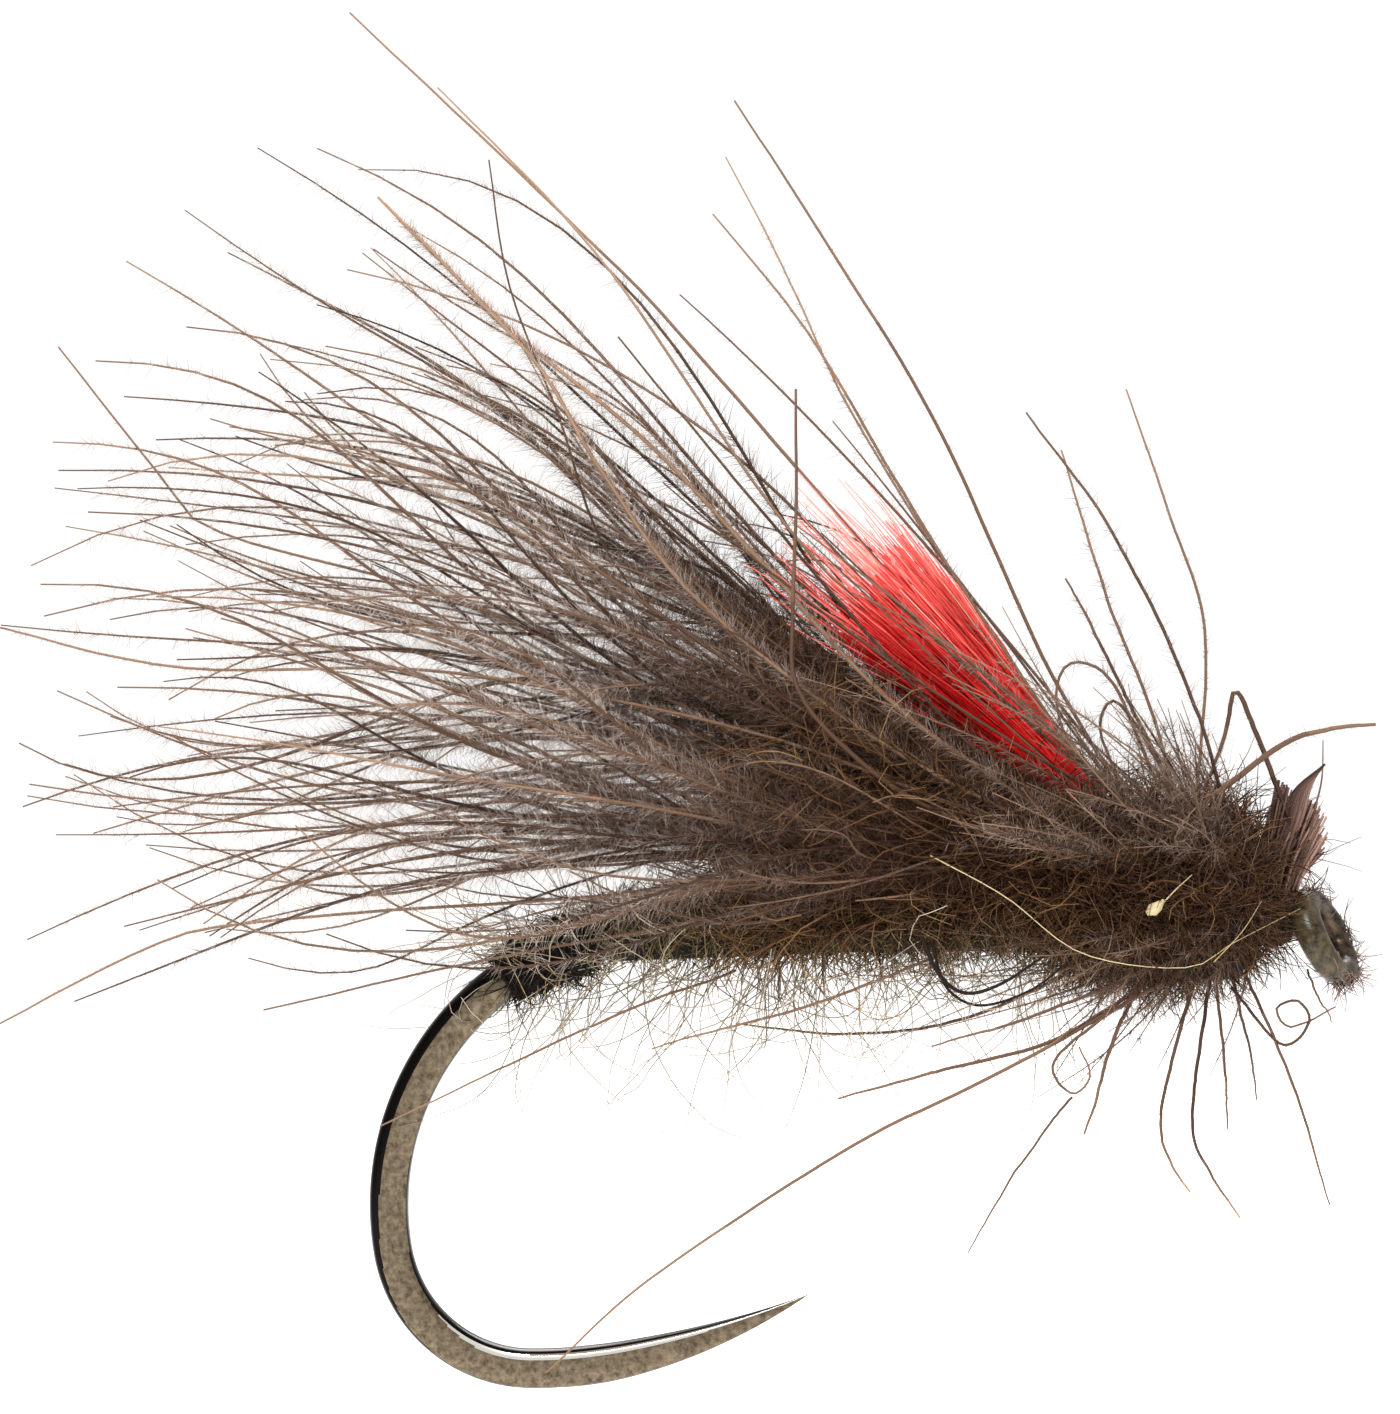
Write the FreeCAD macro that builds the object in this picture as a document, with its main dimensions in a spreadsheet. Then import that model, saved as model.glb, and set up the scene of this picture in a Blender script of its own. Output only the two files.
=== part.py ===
"""Dry fly of the sedge type, tied on a size 12 barbless hook.

Millimetres, +Z up, origin at the centre of the hook eye's hole. The hook shank runs along X with the
eye in front at X = 0, the bend behind and the point hanging below. Y is the width of the fly.
"""

import FreeCAD, Part
import Sketcher
import math
import os

Vector = FreeCAD.Vector
Rotation = FreeCAD.Rotation
Placement = FreeCAD.Placement

X_AXIS = Vector(1, 0, 0)
Y_AXIS = Vector(0, 1, 0)
Z_AXIS = Vector(0, 0, 1)

DRIVING_SIZES = {
    # hook wire, all as centre line unless named otherwise
    "wire_radius": 0.275,
    "shank_height": 0.376,
    "shank_front": -1.05,
    "shank_rear": -9.85,
    "bend_radius_entry": 2.45,
    "bend_radius_back": 3.85,
    "bend_radius_heel": 1.95,
    "bend_radius_throat": 6.2,
    "bend_radius_spear": 10.2,
    "turn_entry": 24.0,
    "turn_back": 73.5,
    "turn_heel": 79.5,
    "turn_throat_full": 7.0,
    "turn_throat_taper": 6.0,
    "turn_spear": 15.0,
    "tip_radius": 0.012,
    "forged_half_width": 0.225,
    "forged_top": -0.45,
    # hook eye
    "eye_ring_radius": 0.55,
    "eye_wire_radius": 0.18,
    "eye_hole_radius": 0.39,
    "eye_droop": 64.2,
    "eye_twist": 21.0,
    # thread
    "snug_gap": 0.004,
    "thread_layer": 0.05,
    "butt_wrap_radius": 0.36,
    "butt_wrap_turn_back": 12.0,
    # abdomen
    "abdomen_front": -3.17,
    "abdomen_radius_rear": 0.4,
    "abdomen_radius_mid": 0.47,
    "abdomen_radius_front": 0.62,
    # thorax and what is lashed down inside it
    "thorax_height": 0.6,
    "thorax_rear": -3.15,
    "thorax_front": -0.95,
    "thorax_radius_rear": 0.95,
    "thorax_radius": 1.27,
    "thorax_radius_front": 0.85,
    "stem_radius": 0.1,
    "wing_lash_rear": -3.05,
    "wing_lash_front": -2.2,
    "wing_lash_radius": 0.62,
    "sighter_lash_rear": -2.1,
    "sighter_lash_front": -1.2,
    "sighter_lash_radius": 0.9,
    "sighter_butt_radius": 0.12,
    "lash_thickness": 0.08,
    # head
    "head_rear": -0.93,
    "head_front": -0.52,
    "head_bore_radius": 0.3,
    "head_radius": 0.42,
    "varnish_thickness": 0.04,
    "butt_tuft_half_width": 0.3,
    # wing
    "wing_root": -3.45,
    "feather_length": 14.9,
    "vane_thickness": 0.1,
    "vane_root_half_width": 0.22,
    "vane_half_angle": 13.0,
    "stem_share": 0.65,
    # sighter
    "sighter_length": 4.9,
    "sighter_half_width": 0.95,
    "sighter_half_thickness": 0.36,
    # hackle and hair
    "barb_radius": 0.045,
    "barb_root_rear": -2.75,
    "barb_spacing": 0.28,
    "barb_root_depth": 0.02,
    "hair_radius": 0.03,
}


class Size(float):
    """A number that remembers the spreadsheet expression it stands for."""

    def __new__(cls, value, text):
        size = float.__new__(cls, value)
        size.text = text
        return size

    def __add__(self, other):
        return Size(float(self) + float(other), f"({self.text} + {expression(other)})")

    def __sub__(self, other):
        return Size(float(self) - float(other), f"({self.text} - {expression(other)})")

    def __mul__(self, other):
        return Size(float(self) * float(other), f"({self.text} * {expression(other)})")

    def __neg__(self):
        return Size(-float(self), f"(-{self.text})")


def expression(value):
    """The expression text of a size, or the digits of a plain number."""
    if isinstance(value, Size):
        return value.text
    return repr(float(value))


doc = FreeCAD.newDocument("dry_fly")


def fill_sheet():
    """Writes the driving sizes to the spreadsheet and returns them by name."""
    sheet = doc.addObject("Spreadsheet::Sheet", "sizes")
    named = {}
    for row, (alias, value) in enumerate(DRIVING_SIZES.items(), start=1):
        sheet.set(f"A{row}", alias)
        sheet.set(f"B{row}", str(value))
        sheet.setAlias(f"B{row}", alias)
        named[alias] = Size(value, f"sizes.{alias}")
    doc.recompute()
    return named


size = fill_sheet()


# ---------------------------------------------------------------- helpers


def bind(feature, prop, value):
    """Sets a length property and binds it to the sheet."""
    setattr(feature, prop, float(value))
    if isinstance(value, Size):
        feature.setExpression(prop, value.text)


def origin_feature(body, role):
    """One of the body's own origin planes or axes."""
    return next(f for f in body.Origin.OriginFeatures if f.Role == role)


def new_body(name, placement):
    body = doc.addObject("PartDesign::Body", name)
    body.Label = name
    body.Placement = placement
    return body


def new_sketch(body, name, role, offset=0.0):
    sketch = body.newObject("Sketcher::SketchObject", name)
    sketch.AttachmentSupport = (origin_feature(body, role), "")
    sketch.MapMode = "FlatFace"
    sketch.AttachmentOffset = Placement(Vector(0, 0, float(offset)), Rotation())
    return sketch


def constrain(sketch, constraint, value, unit=""):
    """Adds a dimension to a sketch and binds it to the sheet."""
    index = sketch.addConstraint(constraint)
    if isinstance(value, Size):
        sketch.setExpression(f"Constraints[{index}]", value.text + unit)


def pin_start(sketch, line, x, y):
    """Holds the start point of a line at x, y from the sketch origin."""
    constrain(sketch, Sketcher.Constraint("DistanceX", -1, 1, line, 1, float(x)), x)
    constrain(sketch, Sketcher.Constraint("DistanceY", -1, 1, line, 1, float(y)), y)


def outline(sketch, corners):
    """A closed outline of straight lines, every corner held by the sheet."""
    count = len(corners)
    for i, (x, y) in enumerate(corners):
        nx, ny = corners[(i + 1) % count]
        line = Part.LineSegment(Vector(float(x), float(y), 0), Vector(float(nx), float(ny), 0))
        sketch.addGeometry(line)
    for i, (x, y) in enumerate(corners):
        sketch.addConstraint(Sketcher.Constraint("Coincident", i, 2, (i + 1) % count, 1))
        pin_start(sketch, i, x, y)


def circles(sketch, radii):
    """Concentric circles about the sketch origin."""
    for i, radius in enumerate(radii):
        sketch.addGeometry(Part.Circle(Vector(0, 0, 0), Z_AXIS, float(radius)))
        sketch.addConstraint(Sketcher.Constraint("Coincident", i, 3, -1, 1))
        constrain(sketch, Sketcher.Constraint("Radius", i, float(radius)), radius)


def revolved(name, corners, height):
    """A body turned about a line along X at the given height. Corners are (x, radius)."""
    body = new_body(name, Placement(Vector(0, 0, float(height)), Rotation()))
    sketch = new_sketch(body, name + "_profile", "XZ_Plane")
    outline(sketch, corners)
    turned = body.newObject("PartDesign::Revolution", name + "_turned")
    turned.Profile = sketch
    turned.ReferenceAxis = (origin_feature(body, "X_Axis"), [""])
    turned.Angle = 360.0
    return body


def sleeve(name, rear, front, inner, outer, height):
    """A plain tube along X."""
    return revolved(name, [(rear, inner), (front, inner), (front, outer), (rear, outer)], height)


def arc_path(sketch, first, start_turn, arcs, start):
    """Adds tangent arcs that turn downwards from a leftward heading, from geometry index `first` on."""
    x, z = start
    turn = start_turn
    for radius, sweep in arcs:
        begin = math.radians(turn)
        end = math.radians(turn + float(sweep))
        centre = Vector(x + radius * math.sin(begin), z - radius * math.cos(begin), 0)
        circle = Part.Circle(centre, Z_AXIS, float(radius))
        quarter = math.pi / 2
        sketch.addGeometry(Part.ArcOfCircle(circle, quarter + begin, quarter + end))
        x = centre.x - radius * math.sin(end)
        z = centre.y + radius * math.cos(end)
        turn += float(sweep)
    for i, (radius, sweep) in enumerate(arcs):
        index = first + i
        if index > 0:
            sketch.addConstraint(Sketcher.Constraint("Tangent", index - 1, 2, index, 1))
        constrain(sketch, Sketcher.Constraint("Radius", index, float(radius)), radius)
        angle = Sketcher.Constraint("Angle", index, math.radians(float(sweep)))
        constrain(sketch, angle, sweep, " * 1 deg")


def piped(body, path, profile, edge_count):
    pipe = body.newObject("PartDesign::AdditivePipe", body.Name + "_pipe")
    pipe.Profile = profile
    pipe.Spine = (path, [f"Edge{i + 1}" for i in range(edge_count)])
    return pipe


def fused(name, pieces):
    fuse = doc.addObject("Part::MultiFuse", name)
    fuse.Shapes = pieces
    return fuse


def cut(name, base, tool):
    result = doc.addObject("Part::Cut", name)
    result.Base = base
    result.Tool = tool
    return result


def grouped(name, pieces):
    """Several separate solids that share one node."""
    group = doc.addObject("Part::Compound", name)
    group.Label = name
    group.Links = pieces
    return group


def cylinder(name, radius, height, placement):
    solid = doc.addObject("Part::Cylinder", name)
    bind(solid, "Radius", radius)
    bind(solid, "Height", height)
    solid.Placement = placement
    return solid


def hair(name, root, heading, towards, length, bend, radius):
    """A round fibre of constant bend: it leaves root along heading and curves towards a direction."""
    sweep = math.degrees(length / bend)
    heading = Vector(heading).normalize()
    side = Vector(towards)
    side = (side - heading * side.dot(heading)).normalize()
    turn = Rotation(-side, heading, Vector(), "XYZ")
    solid = doc.addObject("Part::Torus", name)
    bind(solid, "Radius2", radius)
    solid.Radius1 = bend
    solid.Angle3 = sweep
    solid.Placement = Placement(Vector(root) - turn.multVec(X_AXIS * bend), turn)
    return solid


# ---------------------------------------------------------------- hook

BEND_ARCS = [
    (size["bend_radius_entry"], size["turn_entry"]),
    (size["bend_radius_back"], size["turn_back"]),
    (size["bend_radius_heel"], size["turn_heel"]),
    (size["bend_radius_throat"], size["turn_throat_full"]),
    (size["bend_radius_throat"], size["turn_throat_taper"]),
    (size["bend_radius_spear"], size["turn_spear"]),
]
TAPER_ARCS = BEND_ARCS[4:]
TAPER_STATIONS = [1.0, 0.85, 0.7, 0.55, 0.4, 0.27, 0.16, 0.07, 0.02]
TAPER_POWER = 0.65


def along_bend(distance):
    """Position and heading on the wire's centre line, a distance past the rear of the shank."""
    x, z, turn = float(size["shank_rear"]), float(size["shank_height"]), 0.0
    for radius, sweep in BEND_ARCS:
        step = min(distance / radius, math.radians(sweep))
        x -= radius * (math.sin(turn + step) - math.sin(turn))
        z -= radius * (math.cos(turn) - math.cos(turn + step))
        turn += step
        distance -= step * radius
    return Vector(x, 0, z), Vector(-math.cos(turn), 0, -math.sin(turn))


def arc_length(arcs):
    return sum(float(radius) * math.radians(float(sweep)) for radius, sweep in arcs)


def hook_wire():
    """Round wire from the neck to where the point starts to taper."""
    body = new_body("hook_wire", Placement(Vector(0, 0, float(size["shank_height"])), Rotation()))
    path = new_sketch(body, "hook_path", "XZ_Plane")
    front, rear = size["shank_front"], size["shank_rear"]
    path.addGeometry(Part.LineSegment(Vector(float(front), 0, 0), Vector(float(rear), 0, 0)))
    pin_start(path, 0, front, 0.0)
    path.addConstraint(Sketcher.Constraint("Horizontal", 0))
    constrain(path, Sketcher.Constraint("DistanceX", -1, 1, 0, 2, float(rear)), rear)
    arc_path(path, 1, 0.0, BEND_ARCS[:4], (float(rear), 0.0))
    profile = new_sketch(body, "hook_section", "YZ_Plane", front)
    circles(profile, [size["wire_radius"]])
    piped(body, path, profile, 5)
    return body


def hook_point():
    """The barbless point: round sections that shrink along the last two arcs."""
    wire = size["wire_radius"]
    full = arc_length(BEND_ARCS)
    taper = arc_length(TAPER_ARCS)
    rings = []
    for i, station in enumerate(TAPER_STATIONS + [0.0]):
        centre, heading = along_bend(full - taper * station)
        ring = doc.addObject("Part::Circle", f"point_section_{i}")
        radius = wire * station**TAPER_POWER if station else size["tip_radius"]
        bind(ring, "Radius", radius)
        ring.Placement = Placement(centre, Rotation(Z_AXIS, heading))
        rings.append(ring)
    loft = doc.addObject("Part::Loft", "hook_point")
    loft.Sections = rings
    loft.Solid = True
    return loft


def eye_turn():
    """Turns the eye ring's own axis from Z to the hole's axis."""
    droop = float(size["eye_droop"])
    long_axis = Rotation(Y_AXIS, droop).multVec(X_AXIS)
    return Rotation(long_axis, float(size["eye_twist"])) * Rotation(Y_AXIS, droop)


def hook_eye():
    """The ring of the eye, and the tapered neck that joins it to the shank."""
    ring = doc.addObject("Part::Torus", "eye_ring")
    bind(ring, "Radius1", size["eye_ring_radius"])
    bind(ring, "Radius2", size["eye_wire_radius"])
    ring.Placement = Placement(Vector(), eye_turn())
    start = Vector(float(size["shank_front"]) - 0.05, 0, float(size["shank_height"]))
    end = eye_turn().multVec(X_AXIS * -float(size["eye_ring_radius"]))
    neck = doc.addObject("Part::Cone", "eye_neck")
    bind(neck, "Radius1", size["wire_radius"])
    bind(neck, "Radius2", size["eye_wire_radius"])
    neck.Height = (end - start).Length
    neck.Placement = Placement(start, Rotation(Z_AXIS, end - start))
    return [ring, neck]


def forging_block(name, side):
    """The space beside the bend that the forging presses flat."""
    depth = 1.0
    block = doc.addObject("Part::Box", name)
    block.Length = 8.0
    block.Width = depth
    block.Height = 6.5
    half = float(size["forged_half_width"])
    y = half if side > 0 else -half - depth
    block.Placement = Placement(Vector(-14.0, y, float(size["forged_top"]) - 6.5), Rotation())
    return block


def make_hook():
    blank = fused("hook_blank", [hook_wire(), hook_point()] + hook_eye())
    hole_length = size["eye_wire_radius"] * 4.0
    middle = eye_turn().multVec(Z_AXIS * (-float(hole_length) / 2))
    hole = cylinder("eye_hole", size["eye_hole_radius"], hole_length, Placement(middle, eye_turn()))
    pressed = fused("forging_blocks", [forging_block("press_far", 1), forging_block("press_near", -1)])
    hook = cut("hook", cut("hook_forged", blank, pressed), hole)
    hook.Label = "hook"
    return hook


# ---------------------------------------------------------------- thread, abdomen and thorax

SHANK_Z = size["shank_height"]
SNUG = size["snug_gap"]
BASE_RADIUS = size["wire_radius"] + size["thread_layer"]
STEM_CENTRE = BASE_RADIUS + size["stem_radius"] + SNUG * 3.0


def make_thread_base():
    """The first layer of thread, wound straight onto the shank."""
    bore = size["wire_radius"] + SNUG
    return sleeve("thread_base", size["shank_rear"], size["shank_front"], bore, BASE_RADIUS, SHANK_Z)


def make_butt_wraps():
    """Close turns of dark thread where the shank starts to bend."""
    body = new_body(
        "butt_wraps",
        Placement(Vector(float(size["shank_rear"]), 0, float(SHANK_Z)), Rotation()),
    )
    path = new_sketch(body, "butt_path", "XZ_Plane")
    arcs = [BEND_ARCS[0], (BEND_ARCS[1][0], size["butt_wrap_turn_back"])]
    arc_path(path, 0, 0.0, arcs, (0.0, 0.0))
    path.addConstraint(Sketcher.Constraint("Coincident", 0, 1, -1, 1))
    profile = new_sketch(body, "butt_section", "YZ_Plane")
    circles(profile, [size["butt_wrap_radius"], size["wire_radius"] + SNUG])
    piped(body, path, profile, 2)
    return body


def make_abdomen():
    """Dubbed fur wound over the thread base, thicker towards the thorax."""
    rear, front = size["shank_rear"], size["abdomen_front"]
    thin, mid, thick = (size["abdomen_radius_" + place] for place in ("rear", "mid", "front"))
    bore = BASE_RADIUS + SNUG
    corners = [
        (rear, bore),
        (front, bore),
        (front, thick - 0.06),
        (front - 0.3, thick),
        (front - 2.6, mid + 0.04),
        (front - 4.8, mid - 0.05),
        (rear + 0.4, thin + 0.04),
        (rear, thin - 0.02),
    ]
    return revolved("abdomen_dubbing", corners, SHANK_Z)


def make_lashings():
    """Two bands of thread: one holds the wing feathers' stems, one holds the sighter yarn."""
    made = []
    for name in ("wing", "sighter"):
        outer = size[name + "_lash_radius"]
        rear, front = size[name + "_lash_rear"], size[name + "_lash_front"]
        inner = outer - size["lash_thickness"]
        made.append(sleeve(name + "_lashing", rear, front, inner, outer, SHANK_Z))
    return made


def make_sighter_butt():
    """The lashed-down end of the sighter yarn, on top of the feather stems."""
    rear, front = size["sighter_lash_rear"], size["sighter_lash_front"]
    height = size["sighter_lash_radius"] - size["lash_thickness"] - size["sighter_butt_radius"] - 0.01
    base = Vector(float(rear), 0, float(SHANK_Z + height))
    butt = cylinder(
        "sighter_butt", size["sighter_butt_radius"], front - rear, Placement(base, Rotation(Y_AXIS, 90))
    )
    butt.Label = "sighter_butt"
    return butt


def make_trimmed_butts():
    """The feather stems under the lashings, and the trimmed tuft they end in behind the eye."""
    rear, front = size["wing_lash_rear"], size["thorax_front"]
    stems = []
    for i, around in enumerate((-48.0, -16.0, 16.0, 48.0)):
        lean = math.radians(around)
        reach = float(STEM_CENTRE)
        base = Vector(float(rear), reach * math.sin(lean), float(SHANK_Z) + reach * math.cos(lean))
        place = Placement(base, Rotation(Y_AXIS, 90))
        stems.append(cylinder(f"lashed_stem_{i}", size["stem_radius"], front - rear, place))
    body = new_body("butt_tuft", Placement())
    sketch = new_sketch(body, "butt_tuft_side", "XZ_Plane")
    neck = SHANK_Z + STEM_CENTRE
    corners = [
        (front - 0.15, neck - 0.08),
        (front + 0.02, neck + 0.03),
        (front + 0.4, neck + 0.05),
        (front + 0.57, neck + 0.15),
        (front + 0.85, neck + 1.4),
        (front + 0.62, neck + 1.62),
        (front + 0.3, neck + 1.5),
        (front + 0.06, neck + 0.35),
        (front + 0.02, neck + 0.14),
        (front - 0.15, neck + 0.09),
    ]
    outline(sketch, corners)
    pad = body.newObject("PartDesign::Pad", "butt_tuft_pad")
    pad.Profile = sketch
    bind(pad, "Length", size["butt_tuft_half_width"] * 2.0)
    pad.Midplane = True
    butts = fused("trimmed_butts", [body] + stems)
    butts.Label = "trimmed_butts"
    return butts


THORAX_PROFILE = [
    (size["thorax_rear"], size["thorax_radius_rear"]),
    (size["thorax_rear"] + 0.5, size["thorax_radius"] - 0.08),
    (size["thorax_rear"] + 1.1, size["thorax_radius"]),
    (size["thorax_front"] - 0.5, size["thorax_radius"] - 0.1),
    (size["thorax_front"], size["thorax_radius_front"]),
]


def thorax_radius_at(x):
    """Radius of the thorax at a place along X."""
    for (x1, r1), (x2, r2) in zip(THORAX_PROFILE, THORAX_PROFILE[1:]):
        if x1 <= x <= x2:
            return float(r1) + (x - float(x1)) / float(x2 - x1) * float(r2 - r1)
    raise ValueError("that place isn't on the thorax")


def make_thorax():
    """Fur and feather fibre spun in a thread loop and wound over both lashings."""
    axis = size["thorax_height"]
    rear, front = size["thorax_rear"], size["thorax_front"]
    solid = revolved("thorax_solid", [(rear, 0.0)] + THORAX_PROFILE + [(front, 0.0)], axis)
    gap = SNUG * 4.0
    small = size["wing_lash_radius"] + gap
    large = size["sighter_lash_radius"] + gap
    step_rear = size["sighter_lash_rear"] - gap
    step_front = size["sighter_lash_front"] + gap
    hollow_corners = [
        (rear - 0.1, 0.0),
        (rear - 0.1, small),
        (step_rear, small),
        (step_rear, large),
        (step_front, large),
        (step_front, small),
        (front + 0.1, small),
        (front + 0.1, 0.0),
    ]
    hollow = revolved("thorax_hollow", hollow_corners, SHANK_Z)
    thorax = cut("thorax_dubbing", solid, hollow)
    thorax.Label = "thorax_dubbing"
    return thorax


def make_head():
    """Whip-finished thread behind the eye, and the varnish that seals it."""
    rear, front = size["head_rear"], size["head_front"]
    bore, full = size["head_bore_radius"], size["head_radius"]
    coat = size["varnish_thickness"]
    wraps = [
        (rear, bore),
        (front, bore),
        (front, full - 0.08),
        (front - 0.12, full),
        (rear + 0.1, full),
        (rear, full - 0.04),
    ]
    shell = [
        (rear + 0.1, full + SNUG),
        (front - 0.12, full + SNUG),
        (front + SNUG, full - 0.08),
        (front + coat, full - 0.08),
        (front + coat, full - 0.04),
        (front - 0.1, full + coat),
        (rear + 0.1, full + coat),
    ]
    return [revolved("head_wraps", wraps, SHANK_Z), revolved("head_varnish", shell, SHANK_Z)]


# ---------------------------------------------------------------- wing and sighter

# name, rise of the stem and yaw off the middle in degrees, side offset, root height, length share
FEATHERS = [
    ("wing_feather_near_low", 11.0, 9.5, -0.62, 1.28, 1.0),
    ("wing_feather_near_high", 30.0, 4.0, -0.32, 1.58, 0.95),
    ("wing_feather_far_low", 12.5, -9.5, 0.62, 1.28, 0.97),
    ("wing_feather_far_high", 31.5, -4.0, 0.32, 1.58, 0.92),
]
LOBES = 7
NOTCH_SHARE = 0.86


def vane_corners(length):
    """Outline of a feather's vane: a narrow root, straight sides and an end split into barb tips."""
    root = size["vane_root_half_width"]
    half = float(size["vane_half_angle"])
    corners = [(0.0, -root)]
    steps = 2 * LOBES - 1
    for i in range(steps):
        angle = math.radians(-half + 2 * half * i / (steps - 1))
        droop = 1.0 - 0.05 * abs(2 * i / (steps - 1) - 1) ** 2
        reach = length * (droop if i % 2 == 0 else NOTCH_SHARE)
        corners.append((reach * math.cos(angle), reach * math.sin(angle)))
    corners.append((0.0, root))
    return corners


def make_feather(name, rise, yaw, side, root_height, share):
    """One feather: a thin vane in its own upright plane, with a tapered stem up its middle."""
    root = Vector(float(size["wing_root"]), side, root_height)
    turn = Rotation(Z_AXIS, 180.0 + yaw) * Rotation(Y_AXIS, -rise)
    length = size["feather_length"] * share
    body = new_body(name, Placement(root, turn))
    sketch = new_sketch(body, name + "_outline", "XZ_Plane")
    outline(sketch, vane_corners(length))
    vane = body.newObject("PartDesign::Pad", name + "_vane")
    vane.Profile = sketch
    bind(vane, "Length", size["vane_thickness"])
    vane.Midplane = True
    stem = body.newObject("PartDesign::AdditiveCone", name + "_stem")
    stem.AttachmentSupport = (origin_feature(body, "YZ_Plane"), "")
    stem.MapMode = "FlatFace"
    bind(stem, "Radius1", size["stem_radius"])
    bind(stem, "Radius2", size["stem_radius"] * 0.55)
    bind(stem, "Height", length * size["stem_share"])
    return body


# share of the length, share of the half width, share of the half thickness
SIGHTER_SECTIONS = [
    (0.0, 0.2, 0.42),
    (0.22, 0.42, 0.6),
    (0.5, 0.85, 0.85),
    (0.78, 1.0, 1.0),
    (1.0, 0.62, 0.8),
]
SIGHTER_ROOT = Vector(-3.62, 0, 2.3)
SIGHTER_RISE = 48.0


def make_sighter():
    """A tuft of bright yarn that flares from its root."""
    turn = Rotation(Y_AXIS, -(90.0 - SIGHTER_RISE))
    rings = []
    for i, (along, wide, thick) in enumerate(SIGHTER_SECTIONS):
        ring = doc.addObject("Part::Ellipse", f"sighter_section_{i}")
        bind(ring, "MajorRadius", size["sighter_half_width"] * wide)
        bind(ring, "MinorRadius", size["sighter_half_thickness"] * thick)
        centre = SIGHTER_ROOT + turn.multVec(Z_AXIS * float(size["sighter_length"] * along))
        ring.Placement = Placement(centre, turn)
        rings.append(ring)
    yarn = doc.addObject("Part::Loft", "sighter_yarn")
    yarn.Sections = rings
    yarn.Solid = True
    yarn.Label = "sighter_yarn"
    return yarn


# ---------------------------------------------------------------- hackle and guard hairs


def around_thorax(x, lean, depth):
    """A point sunk by depth in the thorax at x, lean degrees round from straight up, and its outward way."""
    angle = math.radians(lean)
    outward = Vector(0, math.sin(angle), math.cos(angle))
    middle = Vector(x, 0, float(size["thorax_height"]))
    return middle + outward * (thorax_radius_at(x) - depth), outward


def hackle(name, leans, sweep_first, sweep_step, length_first, length_step, bend):
    """Feather barbs that stand out of the thorax on both sides of the fly."""
    made = []
    for i, lean in enumerate(leans):
        for side, side_name, ahead in ((-1, "near", 0.0), (1, "far", 0.3)):
            x = float(size["barb_root_rear"] + size["barb_spacing"] * (i + ahead))
            root, outward = around_thorax(x, side * lean, float(size["barb_root_depth"]))
            sweep = math.radians(sweep_first - sweep_step * i)
            heading = outward * math.cos(sweep) - X_AXIS * math.sin(sweep)
            length = length_first - length_step * i
            barb = f"{name}_{side_name}_{i}"
            made.append(hair(barb, root, heading, -X_AXIS, length, bend, size["barb_radius"]))
    return grouped(name, made)


def make_hackles():
    """Barbs above and below the thorax."""
    upper = hackle("hackle_upper", [38.0, 47.0, 36.0, 56.0, 42.0, 62.0], 42.0, 8.5, 8.8, 0.7, 30.0)
    lower = hackle("hackle_lower", [158.0, 122.0, 166.0, 136.0, 152.0, 110.0], 56.0, 13.0, 4.4, 0.25, 9.0)
    return [upper, lower]


# root, heading, direction of curl, length, bend radius
GUARD_HAIRS = [
    ((-5.5, -0.70, 0.6), (1.0, -0.25, -0.2), (0.1, 0.0, 1.0), 4.4, 5.0),
    ((-6.6, -0.6, -0.15), (-0.1, -0.1, -1.0), (1.0, 0.0, 0.1), 1.9, 1.6),
    ((-6.0, 0.62, -0.2), (0.3, 0.25, -1.0), (1.0, 0.1, 0.0), 1.6, 1.4),
    ((-9.2, -0.52, 0.3), (-1.0, -0.35, 0.1), (0.0, 0.0, -1.0), 1.7, 3.2),
    ((-4.6, 0.72, 0.0), (-0.3, 0.4, -0.8), (-1.0, 0.0, 0.2), 2.1, 3.0),
]


def make_guard_hairs():
    """Stiff pale hairs that stand out of the dubbed fur."""
    made = []
    for i, (root, heading, towards, length, bend) in enumerate(GUARD_HAIRS):
        made.append(hair(f"guard_hair_{i}", root, heading, towards, length, bend, size["hair_radius"]))
    return grouped("guard_hairs", made)


# ---------------------------------------------------------------- build and write


def make_fly():
    nodes = [make_hook(), make_thread_base(), make_butt_wraps(), make_abdomen()]
    nodes += make_lashings()
    nodes += [make_sighter_butt(), make_trimmed_butts(), make_thorax()]
    nodes += make_head()
    nodes += [make_feather(*feather) for feather in FEATHERS]
    nodes.append(make_sighter())
    nodes += make_hackles()
    nodes.append(make_guard_hairs())
    return nodes


def check(nodes):
    """Stops if any object failed or any sub-part isn't a sound solid."""
    for item in doc.Objects:
        if "Invalid" in item.State or "Error" in item.State:
            raise RuntimeError(f"{item.Label} failed: {item.State}")
    for node in nodes:
        if node.Shape.isNull() or not node.Shape.isValid() or not node.Shape.Solids:
            raise RuntimeError(f"{node.Label} has no sound solid")
        box = node.Shape.BoundBox
        print(
            f"{node.Label:24s} solids {len(node.Shape.Solids):2d} volume {node.Shape.Volume:8.3f} "
            f"x {box.XMin:7.2f} {box.XMax:6.2f} y {box.YMin:6.2f} {box.YMax:6.2f} "
            f"z {box.ZMin:6.2f} {box.ZMax:6.2f}"
        )


def write(nodes):
    os.makedirs("parts", exist_ok=True)
    for node in nodes:
        node.Shape.exportStep(f"parts/{node.Label}.step")


fly = make_fly()
doc.recompute()
check(fly)
write(fly)
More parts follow.
